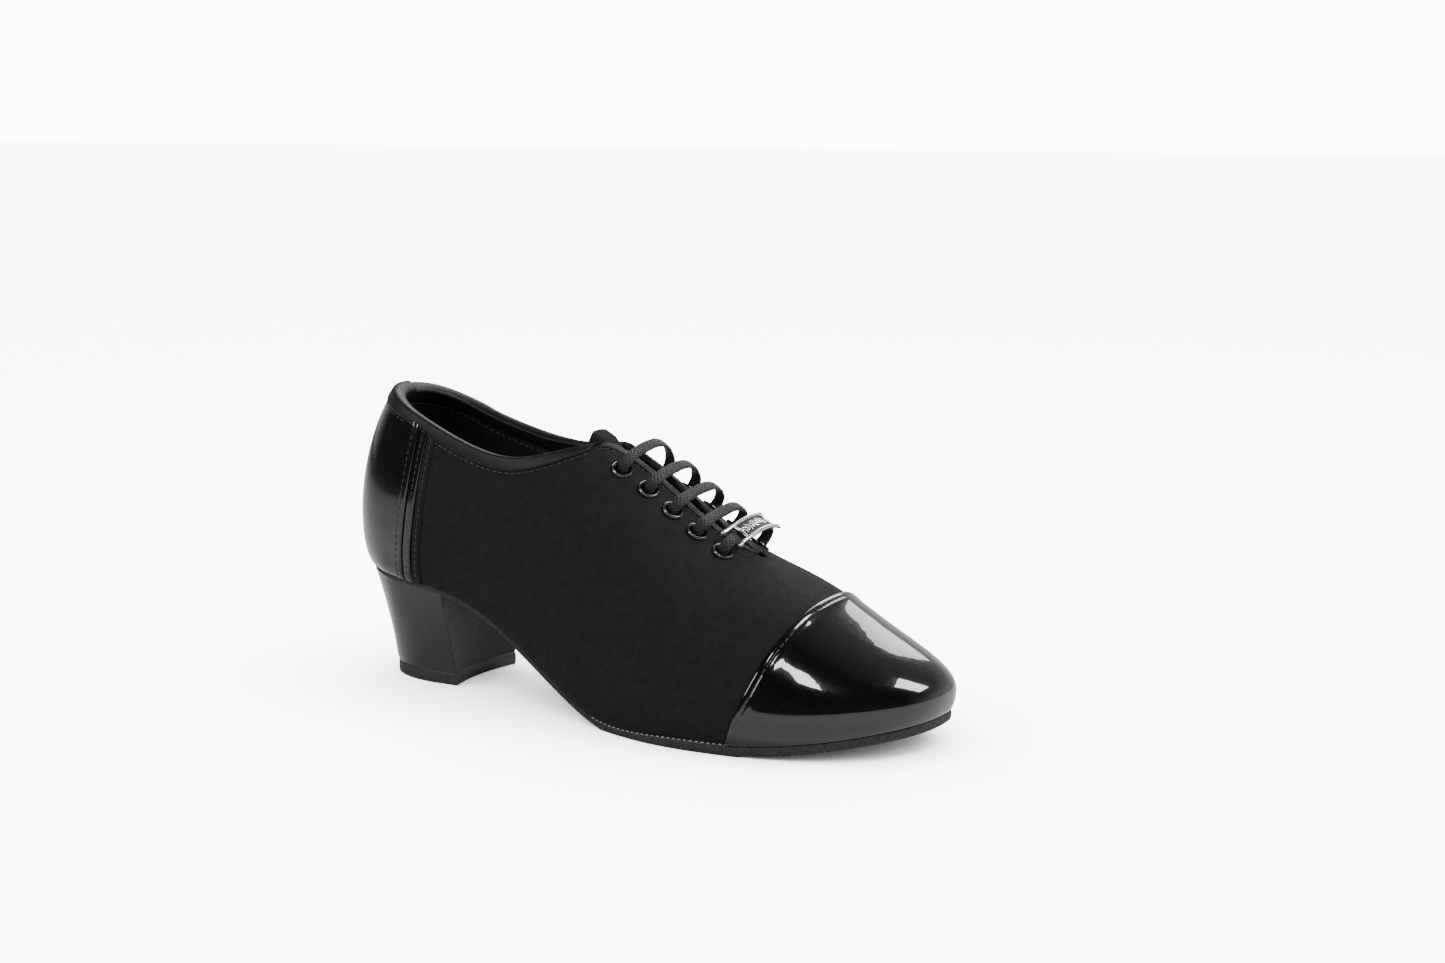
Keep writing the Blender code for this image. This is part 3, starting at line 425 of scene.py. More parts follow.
class Paint:
    """A Principled material with a few procedural texture helpers."""

    def __init__(self, name, colour, rough, metal=0.0, **sockets):
        self.mat = bpy.data.materials.new(name)
        self.mat.use_nodes = True
        self.nodes, self.links = self.mat.node_tree.nodes, self.mat.node_tree.links
        self.shader = self.nodes["Principled BSDF"]
        self.set(self.shader, **{"Base Color": (*colour, 1), "Roughness": rough, "Metallic": metal})
        self.set(self.shader, **{k.replace("_", " "): v for k, v in sockets.items()})
        self.coords = self.nodes.new("ShaderNodeTexCoord")
        self.normal = None

    @staticmethod
    def set(node, **values):
        for key, value in values.items():
            node.inputs[key].default_value = value

    def node(self, kind, **values):
        made = self.nodes.new(kind)
        self.set(made, **values)
        return made

    def stretched(self, source, scale):
        made = self.node("ShaderNodeMapping", Scale=scale)
        self.links.new(self.coords.outputs[source], made.inputs["Vector"])
        return made.outputs["Vector"]

    def noise(self, scale, detail=2.0, rough=0.5, source="Object", stretch=(1, 1, 1)):
        """Scale is per metre in object space, or per millimetre in cloth space."""
        made = self.node("ShaderNodeTexNoise", Scale=scale, Detail=detail, Roughness=rough)
        self.links.new(self.stretched(source, stretch), made.inputs["Vector"])
        return made.outputs["Fac"]

    def cells(self, scale, source="Object", feature="F1"):
        made = self.node("ShaderNodeTexVoronoi", Scale=scale)
        made.feature = feature
        self.links.new(self.coords.outputs[source], made.inputs["Vector"])
        return made.outputs["Distance"]

    def ribs(self, pitch, direction="X", distort=0.0, stretch=(1, 1, 1)):
        """Bands across the cloth, this many millimetres apart."""
        made = self.node("ShaderNodeTexWave", Scale=0.31416 / pitch, Distortion=distort)
        made.bands_direction = direction
        self.links.new(self.stretched("UV", stretch), made.inputs["Vector"])
        return made.outputs["Fac"]

    def math(self, operation, a, b):
        made = self.nodes.new("ShaderNodeMath")
        made.operation = operation
        for socket, value in zip(made.inputs, (a, b)):
            if isinstance(value, (int, float)):
                socket.default_value = value
            else:
                self.links.new(value, socket)
        return made.outputs["Value"]

    def ramp(self, fac, low, high, start=0.0, end=1.0):
        made = self.nodes.new("ShaderNodeValToRGB")
        for element, colour, spot in zip(made.color_ramp.elements, (low, high), (start, end)):
            element.color = (*colour, 1) if len(colour) == 3 else colour
            element.position = spot
        self.links.new(fac, made.inputs["Fac"])
        return made.outputs["Color"]

    def span(self, fac, low, high, start=0.0, end=1.0):
        made = self.node("ShaderNodeMapRange", **dict(zip(RANGE_KEYS, (start, end, low, high))))
        self.links.new(fac, made.inputs["Value"])
        return made.outputs["Result"]

    def to(self, socket, value):
        self.links.new(value, self.shader.inputs[socket])

    def mottle(self, noise, low, high, start, end):
        self.to("Base Color", self.ramp(self.noise(*noise), low, high, start, end))

    def grain(self, noise, depth, strength):
        self.bump(self.noise(*noise), depth, strength)

    def bump(self, height, depth, strength=1.0):
        """Depth is in millimetres."""
        made = self.node("ShaderNodeBump", Strength=strength, Distance=depth * MM)
        self.links.new(height, made.inputs["Height"])
        if self.normal is not None:
            self.links.new(self.normal, made.inputs["Normal"])
        self.normal = made.outputs["Normal"]
        self.links.new(self.normal, self.shader.inputs["Normal"])


def grey(level, blue):
    return level, level, blue


def knit_paint(name, dark, light, rough, sheen, rib=0.6, depth=0.05):
    p = Paint(name, dark, rough, Sheen_Weight=sheen, Sheen_Roughness=0.45, Specular_IOR_Level=0.16)
    p.mottle((260, 6, 0.62), dark, light, 0.35, 0.72)
    p.to("Roughness", p.span(p.noise(90, 4), rough - 0.06, rough + 0.08))
    p.grain((55, 3), 0.25, 0.5)
    p.bump(p.math("MULTIPLY", p.ribs(rib, "X"), p.ribs(rib * 0.8, "Y")), depth, 0.7)
    p.grain((2600, 3, 0.7), depth, 0.6)
    return p.mat


def patent_paint(name, wave=0.35):
    p = Paint(name, grey(0.0035, 0.004), 0.16, Specular_IOR_Level=0.12, Coat_Weight=1.0, Coat_Roughness=0.02,
              Coat_IOR=1.6)
    p.mottle((45, 4), grey(0.003, 0.0034), grey(0.0055, 0.006), 0.3, 0.7)
    p.to("Roughness", p.span(p.noise(420, 5, 0.6), 0.12, 0.24, 0.3, 0.75))
    p.grain((34, 2, 0.4), wave, 0.35)
    p.grain((120, 2, 0.5), wave * 0.3, 0.5)
    p.grain((900, 2), 0.0015, 0.5)
    p.links.new(p.normal, p.shader.inputs["Coat Normal"])
    return p.mat


def ribbon_paint(name, dark, light, rough, pitch=0.45, direction="X", sheen=0.15):
    p = Paint(name, dark, rough, Sheen_Weight=sheen, Sheen_Roughness=0.3, Specular_IOR_Level=0.25)
    p.mottle((300, 4), dark, light, 0.35, 0.75)
    p.bump(p.ribs(pitch, direction, 0.3), 0.04, 0.8)
    p.grain((1500, 3), 0.03, 0.5)
    return p.mat


def thread_paint(name, colour, rough=0.5):
    p = Paint(name, colour, rough, Sheen_Weight=0.2)
    light = tuple(min(1, c * 1.8 + 0.01) for c in colour)
    p.mottle((900, 3), colour, light, 0.3, 0.8)
    p.grain((2400, 2), 0.05, 0.7)
    return p.mat


def make_paints():
    paints = {
        "fabric": knit_paint("stretch_fabric_look", grey(0.010, 0.0104), grey(0.0155, 0.016), 0.78, 0.02),
        "strip": knit_paint("strip_fabric_look", grey(0.007, 0.0073), grey(0.011, 0.0115), 0.6, 0.02),
        "lining": knit_paint("lining_look", grey(0.009, 0.0095), grey(0.017, 0.018), 0.85, 0.03, 0.8, 0.09),
        "cap": patent_paint("patent_toe_look"),
        "counter": patent_paint("patent_counter_look", 0.3),
        "heel": patent_paint("patent_heel_look", 0.12),
        "binding": ribbon_paint("satin_binding_look", grey(0.005, 0.0053), grey(0.010, 0.0105), 0.44, sheen=0.06),
        "tape": ribbon_paint("facing_tape_look", grey(0.004, 0.0043), grey(0.008, 0.0085), 0.55, sheen=0.05),
        "breast": ribbon_paint("heel_breast_look", grey(0.008, 0.0085), grey(0.014, 0.0145), 0.4, 0.5, "Y"),
        "thread": thread_paint("black_thread_look", grey(0.02, 0.021)),
        "pale_thread": thread_paint("pale_thread_look", grey(0.30, 0.31)),
    }
    p = Paint("suede_look", grey(0.05, 0.05), 0.95, Sheen_Weight=0.2)
    p.mottle((500, 7, 0.7), grey(0.02, 0.0205), (0.075, 0.074, 0.073), 0.32, 0.72)
    p.grain((420, 6, 0.7), 0.3, 0.7)
    p.grain((2200, 4, 0.8), 0.12, 0.8)
    paints["suede"] = p.mat
    p = Paint("sole_rim_look", grey(0.03, 0.03), 0.8)
    p.mottle((700, 6, 0.7), grey(0.012, 0.0125), grey(0.05, 0.05), 0.3, 0.75)
    p.bump(p.noise(900, 6, 0.75, stretch=(1, 1, 0.4)), 0.2, 0.8)
    paints["sole_rim"] = p.mat
    p = Paint("top_piece_look", grey(0.02, 0.02), 0.5)
    p.mottle((300, 5, 0.7), grey(0.017, 0.0175), grey(0.034, 0.035), 0.3, 0.75)
    p.to("Roughness", p.span(p.noise(150, 4), 0.4, 0.62))
    p.grain((1300, 4, 0.7), 0.05, 0.6)
    paints["rubber"] = p.mat
    p = Paint("felt_look", grey(0.008, 0.0085), 0.95, Sheen_Weight=0.04, Sheen_Roughness=0.6,
              Specular_IOR_Level=0.2)
    p.mottle((700, 8, 0.75), grey(0.006, 0.0065), grey(0.02, 0.021), 0.3, 0.75)
    p.bump(p.ribs(0.9, "X", 0.8), 0.12, 0.8)
    p.grain((1600, 6, 0.8), 0.16, 0.9)
    paints["felt"] = p.mat
    p = Paint("sock_look", grey(0.014, 0.0145), 0.6)
    p.mottle((60, 5), grey(0.012, 0.0125), (0.024, 0.0235, 0.023), 0.3, 0.75)
    p.bump(p.cells(1300), 0.06, 0.5)
    p.grain((45, 3), 0.6, 0.4)
    paints["sock"] = p.mat
    p = Paint("lace_look", grey(0.008, 0.0085), 0.6, Sheen_Weight=0.06, Sheen_Roughness=0.4)
    braid = p.math("MAXIMUM", p.ribs(0.85, "DIAGONAL"), p.ribs(0.85, "DIAGONAL", stretch=(1, -1, 1)))
    # The colour follows the braid's height, darker in its grooves and lighter on its strands: painted shade in the
    # grooves.
    p.to("Base Color", p.ramp(braid, grey(0.002, 0.0022), grey(0.016, 0.0168), 0.3, 1.0))
    p.bump(braid, 0.3, 1.0)
    p.grain((2500, 3), 0.05, 0.6)
    paints["lace"] = p.mat
    p = Paint("gunmetal_look", grey(0.14, 0.145), 0.18, 1.0)
    p.mottle((500, 4), grey(0.1, 0.103), grey(0.2, 0.206), 0.3, 0.7)
    p.to("Roughness", p.span(p.noise(1200, 3), 0.16, 0.34, 0.3, 0.7))
    paints["gunmetal"] = p.mat
    p = Paint("silver_look", grey(0.78, 0.79), 0.16, 1.0)
    p.mottle((600, 5, 0.7), grey(0.62, 0.63), grey(0.86, 0.87), 0.3, 0.7)
    p.to("Roughness", p.span(p.noise(900, 4), 0.1, 0.26, 0.3, 0.75))
    p.grain((600, 3), 0.03, 0.5)
    paints["silver"] = p.mat
    p = Paint("recess_look", grey(0.03, 0.031), 0.5, 0.6)
    p.mottle((1500, 4), grey(0.012, 0.0125), grey(0.05, 0.052), 0.3, 0.75)
    p.grain((2000, 3), 0.04, 0.6)
    paints["recess"] = p.mat
    for name, low, high, rough, metal in (
            ("board", (0.22, 0.14, 0.08), (0.38, 0.27, 0.17), 0.9, 0.0),
            ("foam", (0.42, 0.4, 0.34), (0.56, 0.54, 0.48), 0.9, 0.0),
            ("core", grey(0.42, 0.4), grey(0.56, 0.54), 0.6, 0.0),
            ("steel", grey(0.42, 0.43), grey(0.62, 0.63), 0.35, 1.0),
            ("plastic_and_hole_shade", grey(0.008, 0.0085), grey(0.016, 0.0165), 0.3, 0.0)):
        p = Paint(name + "_look", low, rough, metal)
        p.mottle((400, 5, 0.6), low, high, 0.3, 0.7)
        p.grain((1200, 4), 0.06, 0.5)
        paints[name] = p.mat
    return paints


# ---------------------------------------------------------------- upper

LOW_ROWS = -np.cos(np.linspace(0, math.pi / 2, 9))[:-1]


def side_columns(front_x=THROAT_X):
    """u values of the outer side from the heel's back to the throat."""
    straight = np.unique(np.concatenate([
        np.arange(SPINE_REAR, -24, 2.4), np.arange(-24, -4, 0.8), np.arange(-4, THROAT_X - 4, 1.6),
        np.linspace(THROAT_X - 4, THROAT_X, 9)]))
    straight = straight[straight <= front_x + 1e-6]
    return np.concatenate([np.linspace(0, QUARTER / LOOP, 36, endpoint=False), u_at(straight)])


def upper_grid(cap_shift, margin, rows=44, ahead=22):
    """u and v of the whole fabric upper, from the inner side of the cap seam round to its outer side."""
    side = side_columns()
    halves = []
    for sign in (-1, 1):
        top = below_edge(sign * side, margin(sign * side))
        up = np.linspace(0, 1, rows)
        v = np.concatenate([np.repeat(LOW_ROWS[None], len(side), 0), top[:, None] * up], 1)
        u = np.repeat((sign * side)[:, None], v.shape[1], 1)
        front_v = np.concatenate([LOW_ROWS, up])
        seam = seam_u(front_v, CAP_SEAM_X + cap_shift, CAP_SEAM_LEAN, sign)
        step = np.linspace(0, 1, ahead + 1)[1:, None]
        u_front = u[-1][None] + step * (seam - u[-1])[None]
        v_front = np.repeat(front_v[None], ahead, 0)
        u, v = np.concatenate([u, u_front]), np.concatenate([v, v_front])
        halves.append((u, v))
    u = np.concatenate([halves[0][0][::-1], halves[1][0][1:]])
    v = np.concatenate([halves[0][1][::-1], halves[1][1][1:]])
    return u, v


def eyelet_places():
    for side, word in ((-1, "outer"), (1, "inner")):
        for number, x in enumerate(EYELET_X, 1):
            y = ridge_y(x) + side * EYELET_OFFSET
            point = dome(np.array(x), y)
            yield word, number, point, unit(dome(np.array(x), y, 1.0) - point)


def eyelet_cutter():
    """All eyelet holes as one cutter, in metres."""
    work = bmesh.new()
    for _, _, point, normal in eyelet_places():
        turn = Vector((0, 0, 1)).rotation_difference(Vector(normal)).to_matrix().to_4x4()
        place = Matrix.Translation(Vector((point + (0, SIDE_SHIFT, 0)) * MM)) @ turn
        bmesh.ops.create_cone(work, cap_ends=True, segments=32, radius1=3.3 * MM, radius2=3.3 * MM,
                              depth=14 * MM, matrix=place)
    mesh = bpy.data.meshes.new("hole_cutter")
    work.to_mesh(mesh)
    work.free()
    thing = bpy.data.objects.new("hole_cutter", mesh)
    bpy.context.collection.objects.link(thing)
    return thing


def settle(thing):
    """Applies a piece's modifiers."""
    bpy.context.view_layer.update()
    mesh = bpy.data.meshes.new_from_object(thing.evaluated_get(bpy.context.evaluated_depsgraph_get()))
    old = thing.data
    thing.modifiers.clear()
    thing.data = mesh
    mesh.name = thing.name
    bpy.data.meshes.remove(old)
    return thing


def punch(thing, cutter):
    tool = thing.modifiers.new("holes", "BOOLEAN")
    tool.operation, tool.object, tool.solver = "DIFFERENCE", cutter, "EXACT"
    settle(thing)
    thing.data.shade_smooth()
    thing.data.set_sharp_from_angle(angle=math.radians(50))


def softness(u, v):
    """Slow hollows and swells of the soft fabric, in millimetres."""
    p = surface(u, v)
    x, y, z = np.moveaxis(p, -1, 0)
    wave = (np.sin(x / 13 + 1.3 * np.sin(z / 17)) * np.sin(z / 15 + y / 24)
            + 0.6 * np.sin(x / 7.3 + z / 9.1 + 1) * np.sin(z / 11 - x / 29))
    quiet = (smooth((v + 0.2) / 0.5) * smooth((0.98 - v) / 0.25)
             * smooth((70 - x) / 16) * smooth((x + 92) / 12))
    return 0.16 * wave * quiet


def draw_in(grid, v):
    """Lowers the last rows a little, into the feather line."""
    grid[..., 2] -= 0.5 * smooth((-v - 0.7) / 0.3)
    return grid


def make_upper(paints):
    u, v = upper_grid(4.0, lambda us: np.full_like(us, 1.5))
    zipped = v[:, -1] > 0.9999
    low = draw_in(surface(u, v, softness(u, v)), v)
    upper = shell("upper", low, surface(u, v, -1.4), paints["fabric"], zipped)
    u, v = upper_grid(30.0, lambda us: np.full_like(us, 1.5), 30, 12)
    back = smooth((-38 - plan_point(u, 0 * u)[0]) / 20)
    outer = surface(u, v, LINING[0] + back * (HEEL_LINING[0] - LINING[0]))
    inner = surface(u, v, LINING[1] + back * (HEEL_LINING[1] - LINING[1]) + 0.5 * softness(u, v))
    lining = shell("lining", outer, inner, paints["lining"], v[:, -1] > 0.9999)
    cutter = eyelet_cutter()
    for piece in (upper, lining):
        punch(piece, cutter)
    bpy.data.objects.remove(cutter)
    wear(upper, "soft", "stretch_fabric", "upper_quarters", "upper_vamp")
    wear(lining, "soft", "lining_cloth", "lining_quarters", "lining_vamp")


# Folded edge of the patent: (distance from the seam, height), with a groove for the stitches.
EDGE_PROFILE = ((0.0, 0.1), (0.03, 0.5), (0.14, 0.86), (0.38, 1.14), (0.8, 1.3), (1.5, 1.33), (2.0, 1.26),
                (2.3, 1.12), (2.5, 1.06), (2.7, 1.12), (3.0, 1.24), (3.5, 1.22), (4.2, 1.08), (5.2, 0.98),
                (7.0, 0.92), (9.0, 0.9))


def cup(seam_x, lean, v_rows, top=None, between_count=90):
    """u, v and offset grids of a patent cup with a folded edge along its seam.

    Without top it goes round the toe; with top it goes round the heel, up to top below the edge."""
    profile = np.array(EDGE_PROFILE)
    direction = 1 if top is None else -1
    shifts = (profile[:, :1] * direction * math.hypot(1, lean)) + 0 * v_rows
    share = np.linspace(0, 1, between_count)[1:-1, None]
    low, shares = v_rows[v_rows < 0], v_rows[v_rows >= 0]
    v = np.repeat(v_rows[None], 2 * len(profile) + between_count - 2, 0)
    if top is None:
        first, last = (seam_u(v[:len(profile)], seam_x + shifts, lean, side) for side in (1, -1))
        u = np.concatenate([first, first[-1] + share * (1 + last[-1] - first[-1]), last[::-1]])
    else:
        v[:, len(low):] *= 0.8
        for _ in range(3):
            first = seam_u(v[:len(profile)], seam_x + shifts, lean, -1)
            last = seam_u(v[:-len(profile) - 1:-1], seam_x + shifts, lean, 1)
            u = np.concatenate([first, first[-1] + share * (last[-1] - first[-1]), last[::-1]])
            v[:, len(low):] = below_edge(u, top)[:, len(low):] * shares
    off = np.concatenate([profile[:, 1], np.full(between_count - 2, profile[-1, 1]), profile[::-1, 1]])
    return u, v, np.repeat(off[:, None], v.shape[1], 1)


def seam_line(start_x, lean, side, v_rows, off):
    """Points and normals along a seam, for its stitches."""
    u = seam_u(v_rows, start_x, lean, side)
    return surface(u, v_rows, off), normal_at(u, v_rows, off)


def make_toe_cap(paints):
    rows = np.concatenate([LOW_ROWS, np.linspace(0, 1, 60) ** 0.9])
    u, v, off = cup(CAP_SEAM_X, CAP_SEAM_LEAN, rows)
    outer = draw_in(surface(u, v, off), v)
    cap = shell("toe_cap_skin", outer, surface(u, v, 0.05), paints["cap"], np.ones(len(u), bool))
    wear(cap, "soft", "patent_toe_cap", "toe_cap")
    line = np.linspace(-0.93, 1, 160)
    sides = [seam_line(CAP_SEAM_X + 2.5 * 1.06, CAP_SEAM_LEAN, side, line, 1.15) for side in (1, -1)]
    path = np.concatenate([sides[0][0], sides[1][0][::-1][1:]])
    normals = np.concatenate([sides[0][1], sides[1][1][::-1][1:]])
    stitch_row("toe_cap_stitches", path, normals, paints["thread"], "soft", 2.1, 0.75, 0.24)


def make_counter(paints):
    rows = np.concatenate([LOW_ROWS, np.linspace(0, 1, 50)])
    u, v, off = cup(COUNTER_SEAM_X, COUNTER_SEAM_LEAN, rows, top=2.6, between_count=70)
    outer = draw_in(surface(u, v, off), v)
    skin = shell("counter_skin", outer, surface(u, v, 0.05), paints["counter"], np.zeros(len(u), bool))
    wear(skin, "shoe", "patent_counter", "counter_cover")
    for word, side in (("outer", 1), ("inner", -1)):
        line = np.linspace(-0.93, 0.97, 120)
        for kind, start, end, high, paint in (("strip", 0.25, 4.0, 1.0, "counter"),
                                              ("tape", 4.1, 8.2, 0.55, "strip")):
            climb = np.linspace(0, 1, 50)
            across = np.array((0, 0.04, 0.12, 0.25, 0.4, 0.6, 0.75, 0.88, 0.96, 1))[:, None]
            bulge = np.array((0.05, 0.6, 0.9, 1.0, 0.98, 0.98, 1.0, 0.9, 0.6, 0.05))[:, None] * high
            v = np.repeat((-1 + climb * 1.5)[None], len(across), 0)
            for _ in range(3):
                rear = seam_u(v, COUNTER_SEAM_X + start, COUNTER_SEAM_LEAN, side)
                front = seam_u(v, COUNTER_SEAM_X + end, COUNTER_SEAM_LEAN, side)
                u = rear + across * (front - rear)
                v = -1 + climb * (below_edge(u, np.full_like(u, 2.6)) + 1)
            grid = draw_in(surface(u, v, bulge + 0 * u), v)
            piece = sheet(f"counter_{kind}_{word}_skin", grid, paints[paint])
            if kind == "strip":
                wear(piece, "shoe", "patent_counter", f"counter_strip_{word}")
            else:
                wear(piece, "shoe", "edge_tape")
        top = below_edge(seam_u(line, COUNTER_SEAM_X, COUNTER_SEAM_LEAN, side), np.full_like(line, 4.8))[-1]
        line = np.linspace(-0.93, top, 120)
        for label, shift, off in (("edge", -2.6, 1.12), ("strip", 2.2, 1.02), ("tape", 6.2, 0.56)):
            path, normals = seam_line(COUNTER_SEAM_X + shift, COUNTER_SEAM_LEAN, side, line, off)
            stitch_row(f"counter_{label}_stitches_{word}", path, normals, paints["thread"], "shoe",
                       2.0, 0.7, 0.21)


def band(name, us, width, proud, depth, paint, inner_width=None):
    """Rounded band that wraps a raw edge: from under its outer edge, over the top, to its inner edge."""
    inner_width = inner_width or width
    top_v = edge_v(us)
    top = surface(us, top_v)
    normal = normal_at(us, top_v)
    out = unit(top - surface(us, below_edge(us, np.full_like(us, 1.2))))
    sections = []
    for w, share in ((1.0, 0.12), (0.99, 0.5), (0.94, 0.82), (0.8, 0.97), (0.55, 1.0), (0.3, 1.0)):
        sections.append(surface(us, below_edge(us, np.full_like(us, width * w)), proud * share))
    thick = proud - depth
    for angle in np.linspace(0, math.pi, 13):
        off = depth + thick * (1 + math.cos(angle)) / 2
        swell = math.sin(angle) * np.minimum(thick, 3.2) * 0.42
        sections.append(top + normal * off[:, None] + out * swell[:, None])
    for w in (0.3, 0.6, 0.9, 1.0):
        dip = 0.25 if w == 1.0 else 0.0
        sections.append(surface(us, below_edge(us, np.full_like(us, inner_width * w)), depth + dip))
    return tube(name, np.stack(sections, 1), paint, sharp=60)


def make_edges(paints):
    side = side_columns(CORNER_X)
    us = np.concatenate([-side[::-1], side[1:]])
    x = plan_point(us, 0 * us)[0]
    back = smooth((-38 - x) / 20)
    depth = LINING[1] + back * (HEEL_LINING[1] - LINING[1]) - 0.35
    proud = 0.85 + 0.75 * smooth((-84 - x) / 8)
    width = BINDING_WIDTH + 0.7 * smooth((-90 - x) / 20)
    piece = band("binding", us, width, proud, depth, paints["binding"])
    wear(piece, "shoe", "satin_binding", "topline_binding")
    v = below_edge(us, width + 0.75)
    stitch_row("binding_stitches", surface(us, v, 0.12 + 0.85 * smooth((-90 - x) / 3)), normal_at(us, v),
               paints["thread"], "shoe", 2.0, 0.7, 0.2)
    v = below_edge(us, width * 0 + 6.6)
    inside = LINING[1] + back * (HEEL_LINING[1] - LINING[1])
    stitch_row("lining_stitches", surface(us, v, inside - 0.08), -normal_at(us, v), paints["thread"], "shoe",
               2.2, 0.9, 0.2)
    for word, sign in (("outer", 1), ("inner", -1)):
        side = side_columns(THROAT_X - 2.0)
        us = sign * side[side > u_at(CORNER_X + 0.6)]
        one = np.ones_like(us)
        x = plan_point(us, 0 * us)[0]
        width = FACING_TAPE_WIDTH * (1 - 0.5 * smooth((ray(us)[0] - 42) / 8))
        piece = band(f"facing_{word}", us, width, 0.5 * one, (LINING[1] - 0.3) * one, paints["tape"])
        wear(piece, "shoe", "edge_tape", f"facing_tape_{word}")
        v = below_edge(us, width + 0.7)
        stitch_row(f"facing_stitches_{word}", surface(us, v, 0.1), normal_at(us, v), paints["thread"], "soft",
                   1.9, 0.7, 0.2)


# ---------------------------------------------------------------- lacing

def make_eyelets(paints):
    # Each profile is (radius, height over the fabric).
    outer = ((3.28, 0.62), (3.3, 0.85), (3.42, 1.0), (3.56, 0.98), (3.64, 0.84), (3.7, 0.8), (3.78, 0.86),
             (3.92, 0.9), (4.08, 0.78), (4.17, 0.55), (4.18, 0.3), (4.05, 0.12), (3.6, 0.06))
    inner = ((3.6, 0.4), (3.3, 0.6), (3.14, 0.55), (3.05, 0.3), (3.0, 0.0), (3.0, -3.2))
    ring = np.arange(56) * 2 * math.pi / 56
    for word, number, point, normal in eyelet_places():
        side = unit(np.cross(normal, (1.0, 0, 0)))
        along = np.cross(side, normal)
        # The barrel inside the hole takes the near-black non-metal paint, not the rim's gunmetal: painted shade
        # inside the hole.
        for part, profile, paint in (("rim", outer, "gunmetal"), ("barrel", inner, "plastic_and_hole_shade")):
            grid = np.array([[point + r * (math.cos(t) * along + math.sin(t) * side) + h * normal for t in ring]
                             for r, h in (profile if part == "rim" else profile[::-1])])
            piece = sheet(f"eyelet_{word}_{number}_{part}", grid, paints[paint], close_j=True)
            wear(piece, "shoe", "eyelet_metal", *([f"eyelet_{word}_{number}"] if part == "rim" else []))


BAR = ((-14, -4.6), (-14, -0.6), (-13.7, 1.5), (-12.5, 3.4), (-10, 4.2), (-6, 4.7), (0, 5.8), (4, 6.8), (8, 7.4),
       (11.5, 7.0), (13.4, 5.7), (14.2, 3.6), (14.2, 1.2), (14, -0.8), (14, -4.6))
CHARM_BAR = ((-14, -4.6), (-14, -0.4), (-13.9, 1.6), (-13, 3.2), (-11.5, 3.9), (-9, 4.1), (-6.5, 3.8), (0, 5.4),
             (6, 6.8), (9.5, 7.7), (11.5, 8.0), (13.2, 7.1), (14.2, 5.0), (14.3, 2.4), (14, -0.6), (14, -4.6))
START_TAIL = ((104, 9, -7), (95, 14, -6), (82, 18, -5.4), (68, 19, -5.2), (56, 18, -5.8), (49, 16, -6.6),
              (44, 14.4, -6.4))
END_TAIL = ((2.2, -14.8, -6.4), (6.5, -18.5, -6.4), (14, -22, -5.2), (30, -23, -5.2), (48, -24, -5.4),
            (64, -23, -5.6), (76, -20, -6.2))


def lace_route():
    """Straight bar lacing from the lowest pair up; both ends run inside, beside the tongue."""
    route = list(START_TAIL)
    side = 1
    xs = EYELET_X[::-1]
    for x, above in zip(xs, xs[1:] + (None,)):
        spots = CHARM_BAR if x == xs[0] else BAR
        route += [(x, across, off) for across, off in spots[::-side]]
        side = -side
        if above is not None:
            route += [(x - 3.4, side * 14.6, -6.4), (above + 3.4, side * 14.6, -6.4)]
    return on_ridge(*np.array(route + list(END_TAIL), float).T)


LACE_HALF_WIDTH, LACE_HALF_THICK, LACE_STEP = 2.3, 0.8, 0.45


def make_lace(paints):
    points = lace_route()
    run = length_of(points)
    curve = [spline(run, points[:, k]) for k in range(3)]
    fine = np.linspace(0, run[-1], 6000)
    path = np.stack([c(fine) for c in curve], 1)
    length = length_of(path)
    even = np.linspace(0, length[-1], int(length[-1] / LACE_STEP))
    path = at(length, path, even)
    tangent = unit(np.gradient(path, axis=0))
    down = unit(on_ridge(EYELET_X[-1], 0, 0) - on_ridge(EYELET_X[0], 0, 0))
    along_ridge = np.abs(tangent @ down)
    across = np.array((0.0, 1.0, 0.0))
    turn = smooth((along_ridge - 0.35) / 0.4)[:, None]
    width = unit(down * (1 - turn) + across * turn)
    for _ in range(14):
        width = unit(width + np.concatenate([width[:1], width[:-1]])
                     + np.concatenate([width[1:], width[-1:]]))
    width = unit(width - tangent * (width * tangent).sum(1, keepdims=True))
    thick = np.cross(tangent, width)
    angle = np.linspace(0, 2 * math.pi, 17)[:-1]
    c, s = np.cos(angle), np.sin(angle)
    shape_w = np.sign(c) * np.abs(c) ** 0.75 * LACE_HALF_WIDTH
    shape_t = np.sign(s) * np.abs(s) ** 0.9 * LACE_HALF_THICK
    ripple = 1 + 0.03 * np.sin(even / 1.9)[:, None]
    sections = (path[:, None] + width[:, None] * (shape_w[None, :, None] * ripple[..., None])
                + thick[:, None] * shape_t[None, :, None])
    piece = tube("lace_braid", sections, paints["lace"], sharp=70)
    wear(piece, "soft", "lace_cord", "lace")


def charm_offset(across):
    return 6.65 + 0.245 * np.asarray(across)


def masked_plate(name, top, bottom, keep, paint):
    """Plate between two grids, with a cell left out where keep is False."""
    rows, cols = top.shape[:2]
    size = rows * cols
    index = np.arange(size).reshape(rows, cols)
    faces = []
    for i in range(rows - 1):
        for j in range(cols - 1):
            if not keep[i, j]:
                continue
            a, b, c, d = index[i, j], index[i + 1, j], index[i + 1, j + 1], index[i, j + 1]
            faces += [(a, b, c, d), tuple(k + size for k in (d, c, b, a))]
            for di, dj, p, q in ((-1, 0, a, d), (1, 0, c, b), (0, -1, b, a), (0, 1, d, c)):
                ni, nj = i + di, j + dj
                if not (0 <= ni < rows - 1 and 0 <= nj < cols - 1 and keep[ni, nj]):
                    faces.append((p, q, q + size, p + size))
    faces = [tuple(int(k) for k in f) for f in faces]
    return add(name, np.concatenate([top.reshape(-1, 3), bottom.reshape(-1, 3)]), faces, paint, sharp=40)


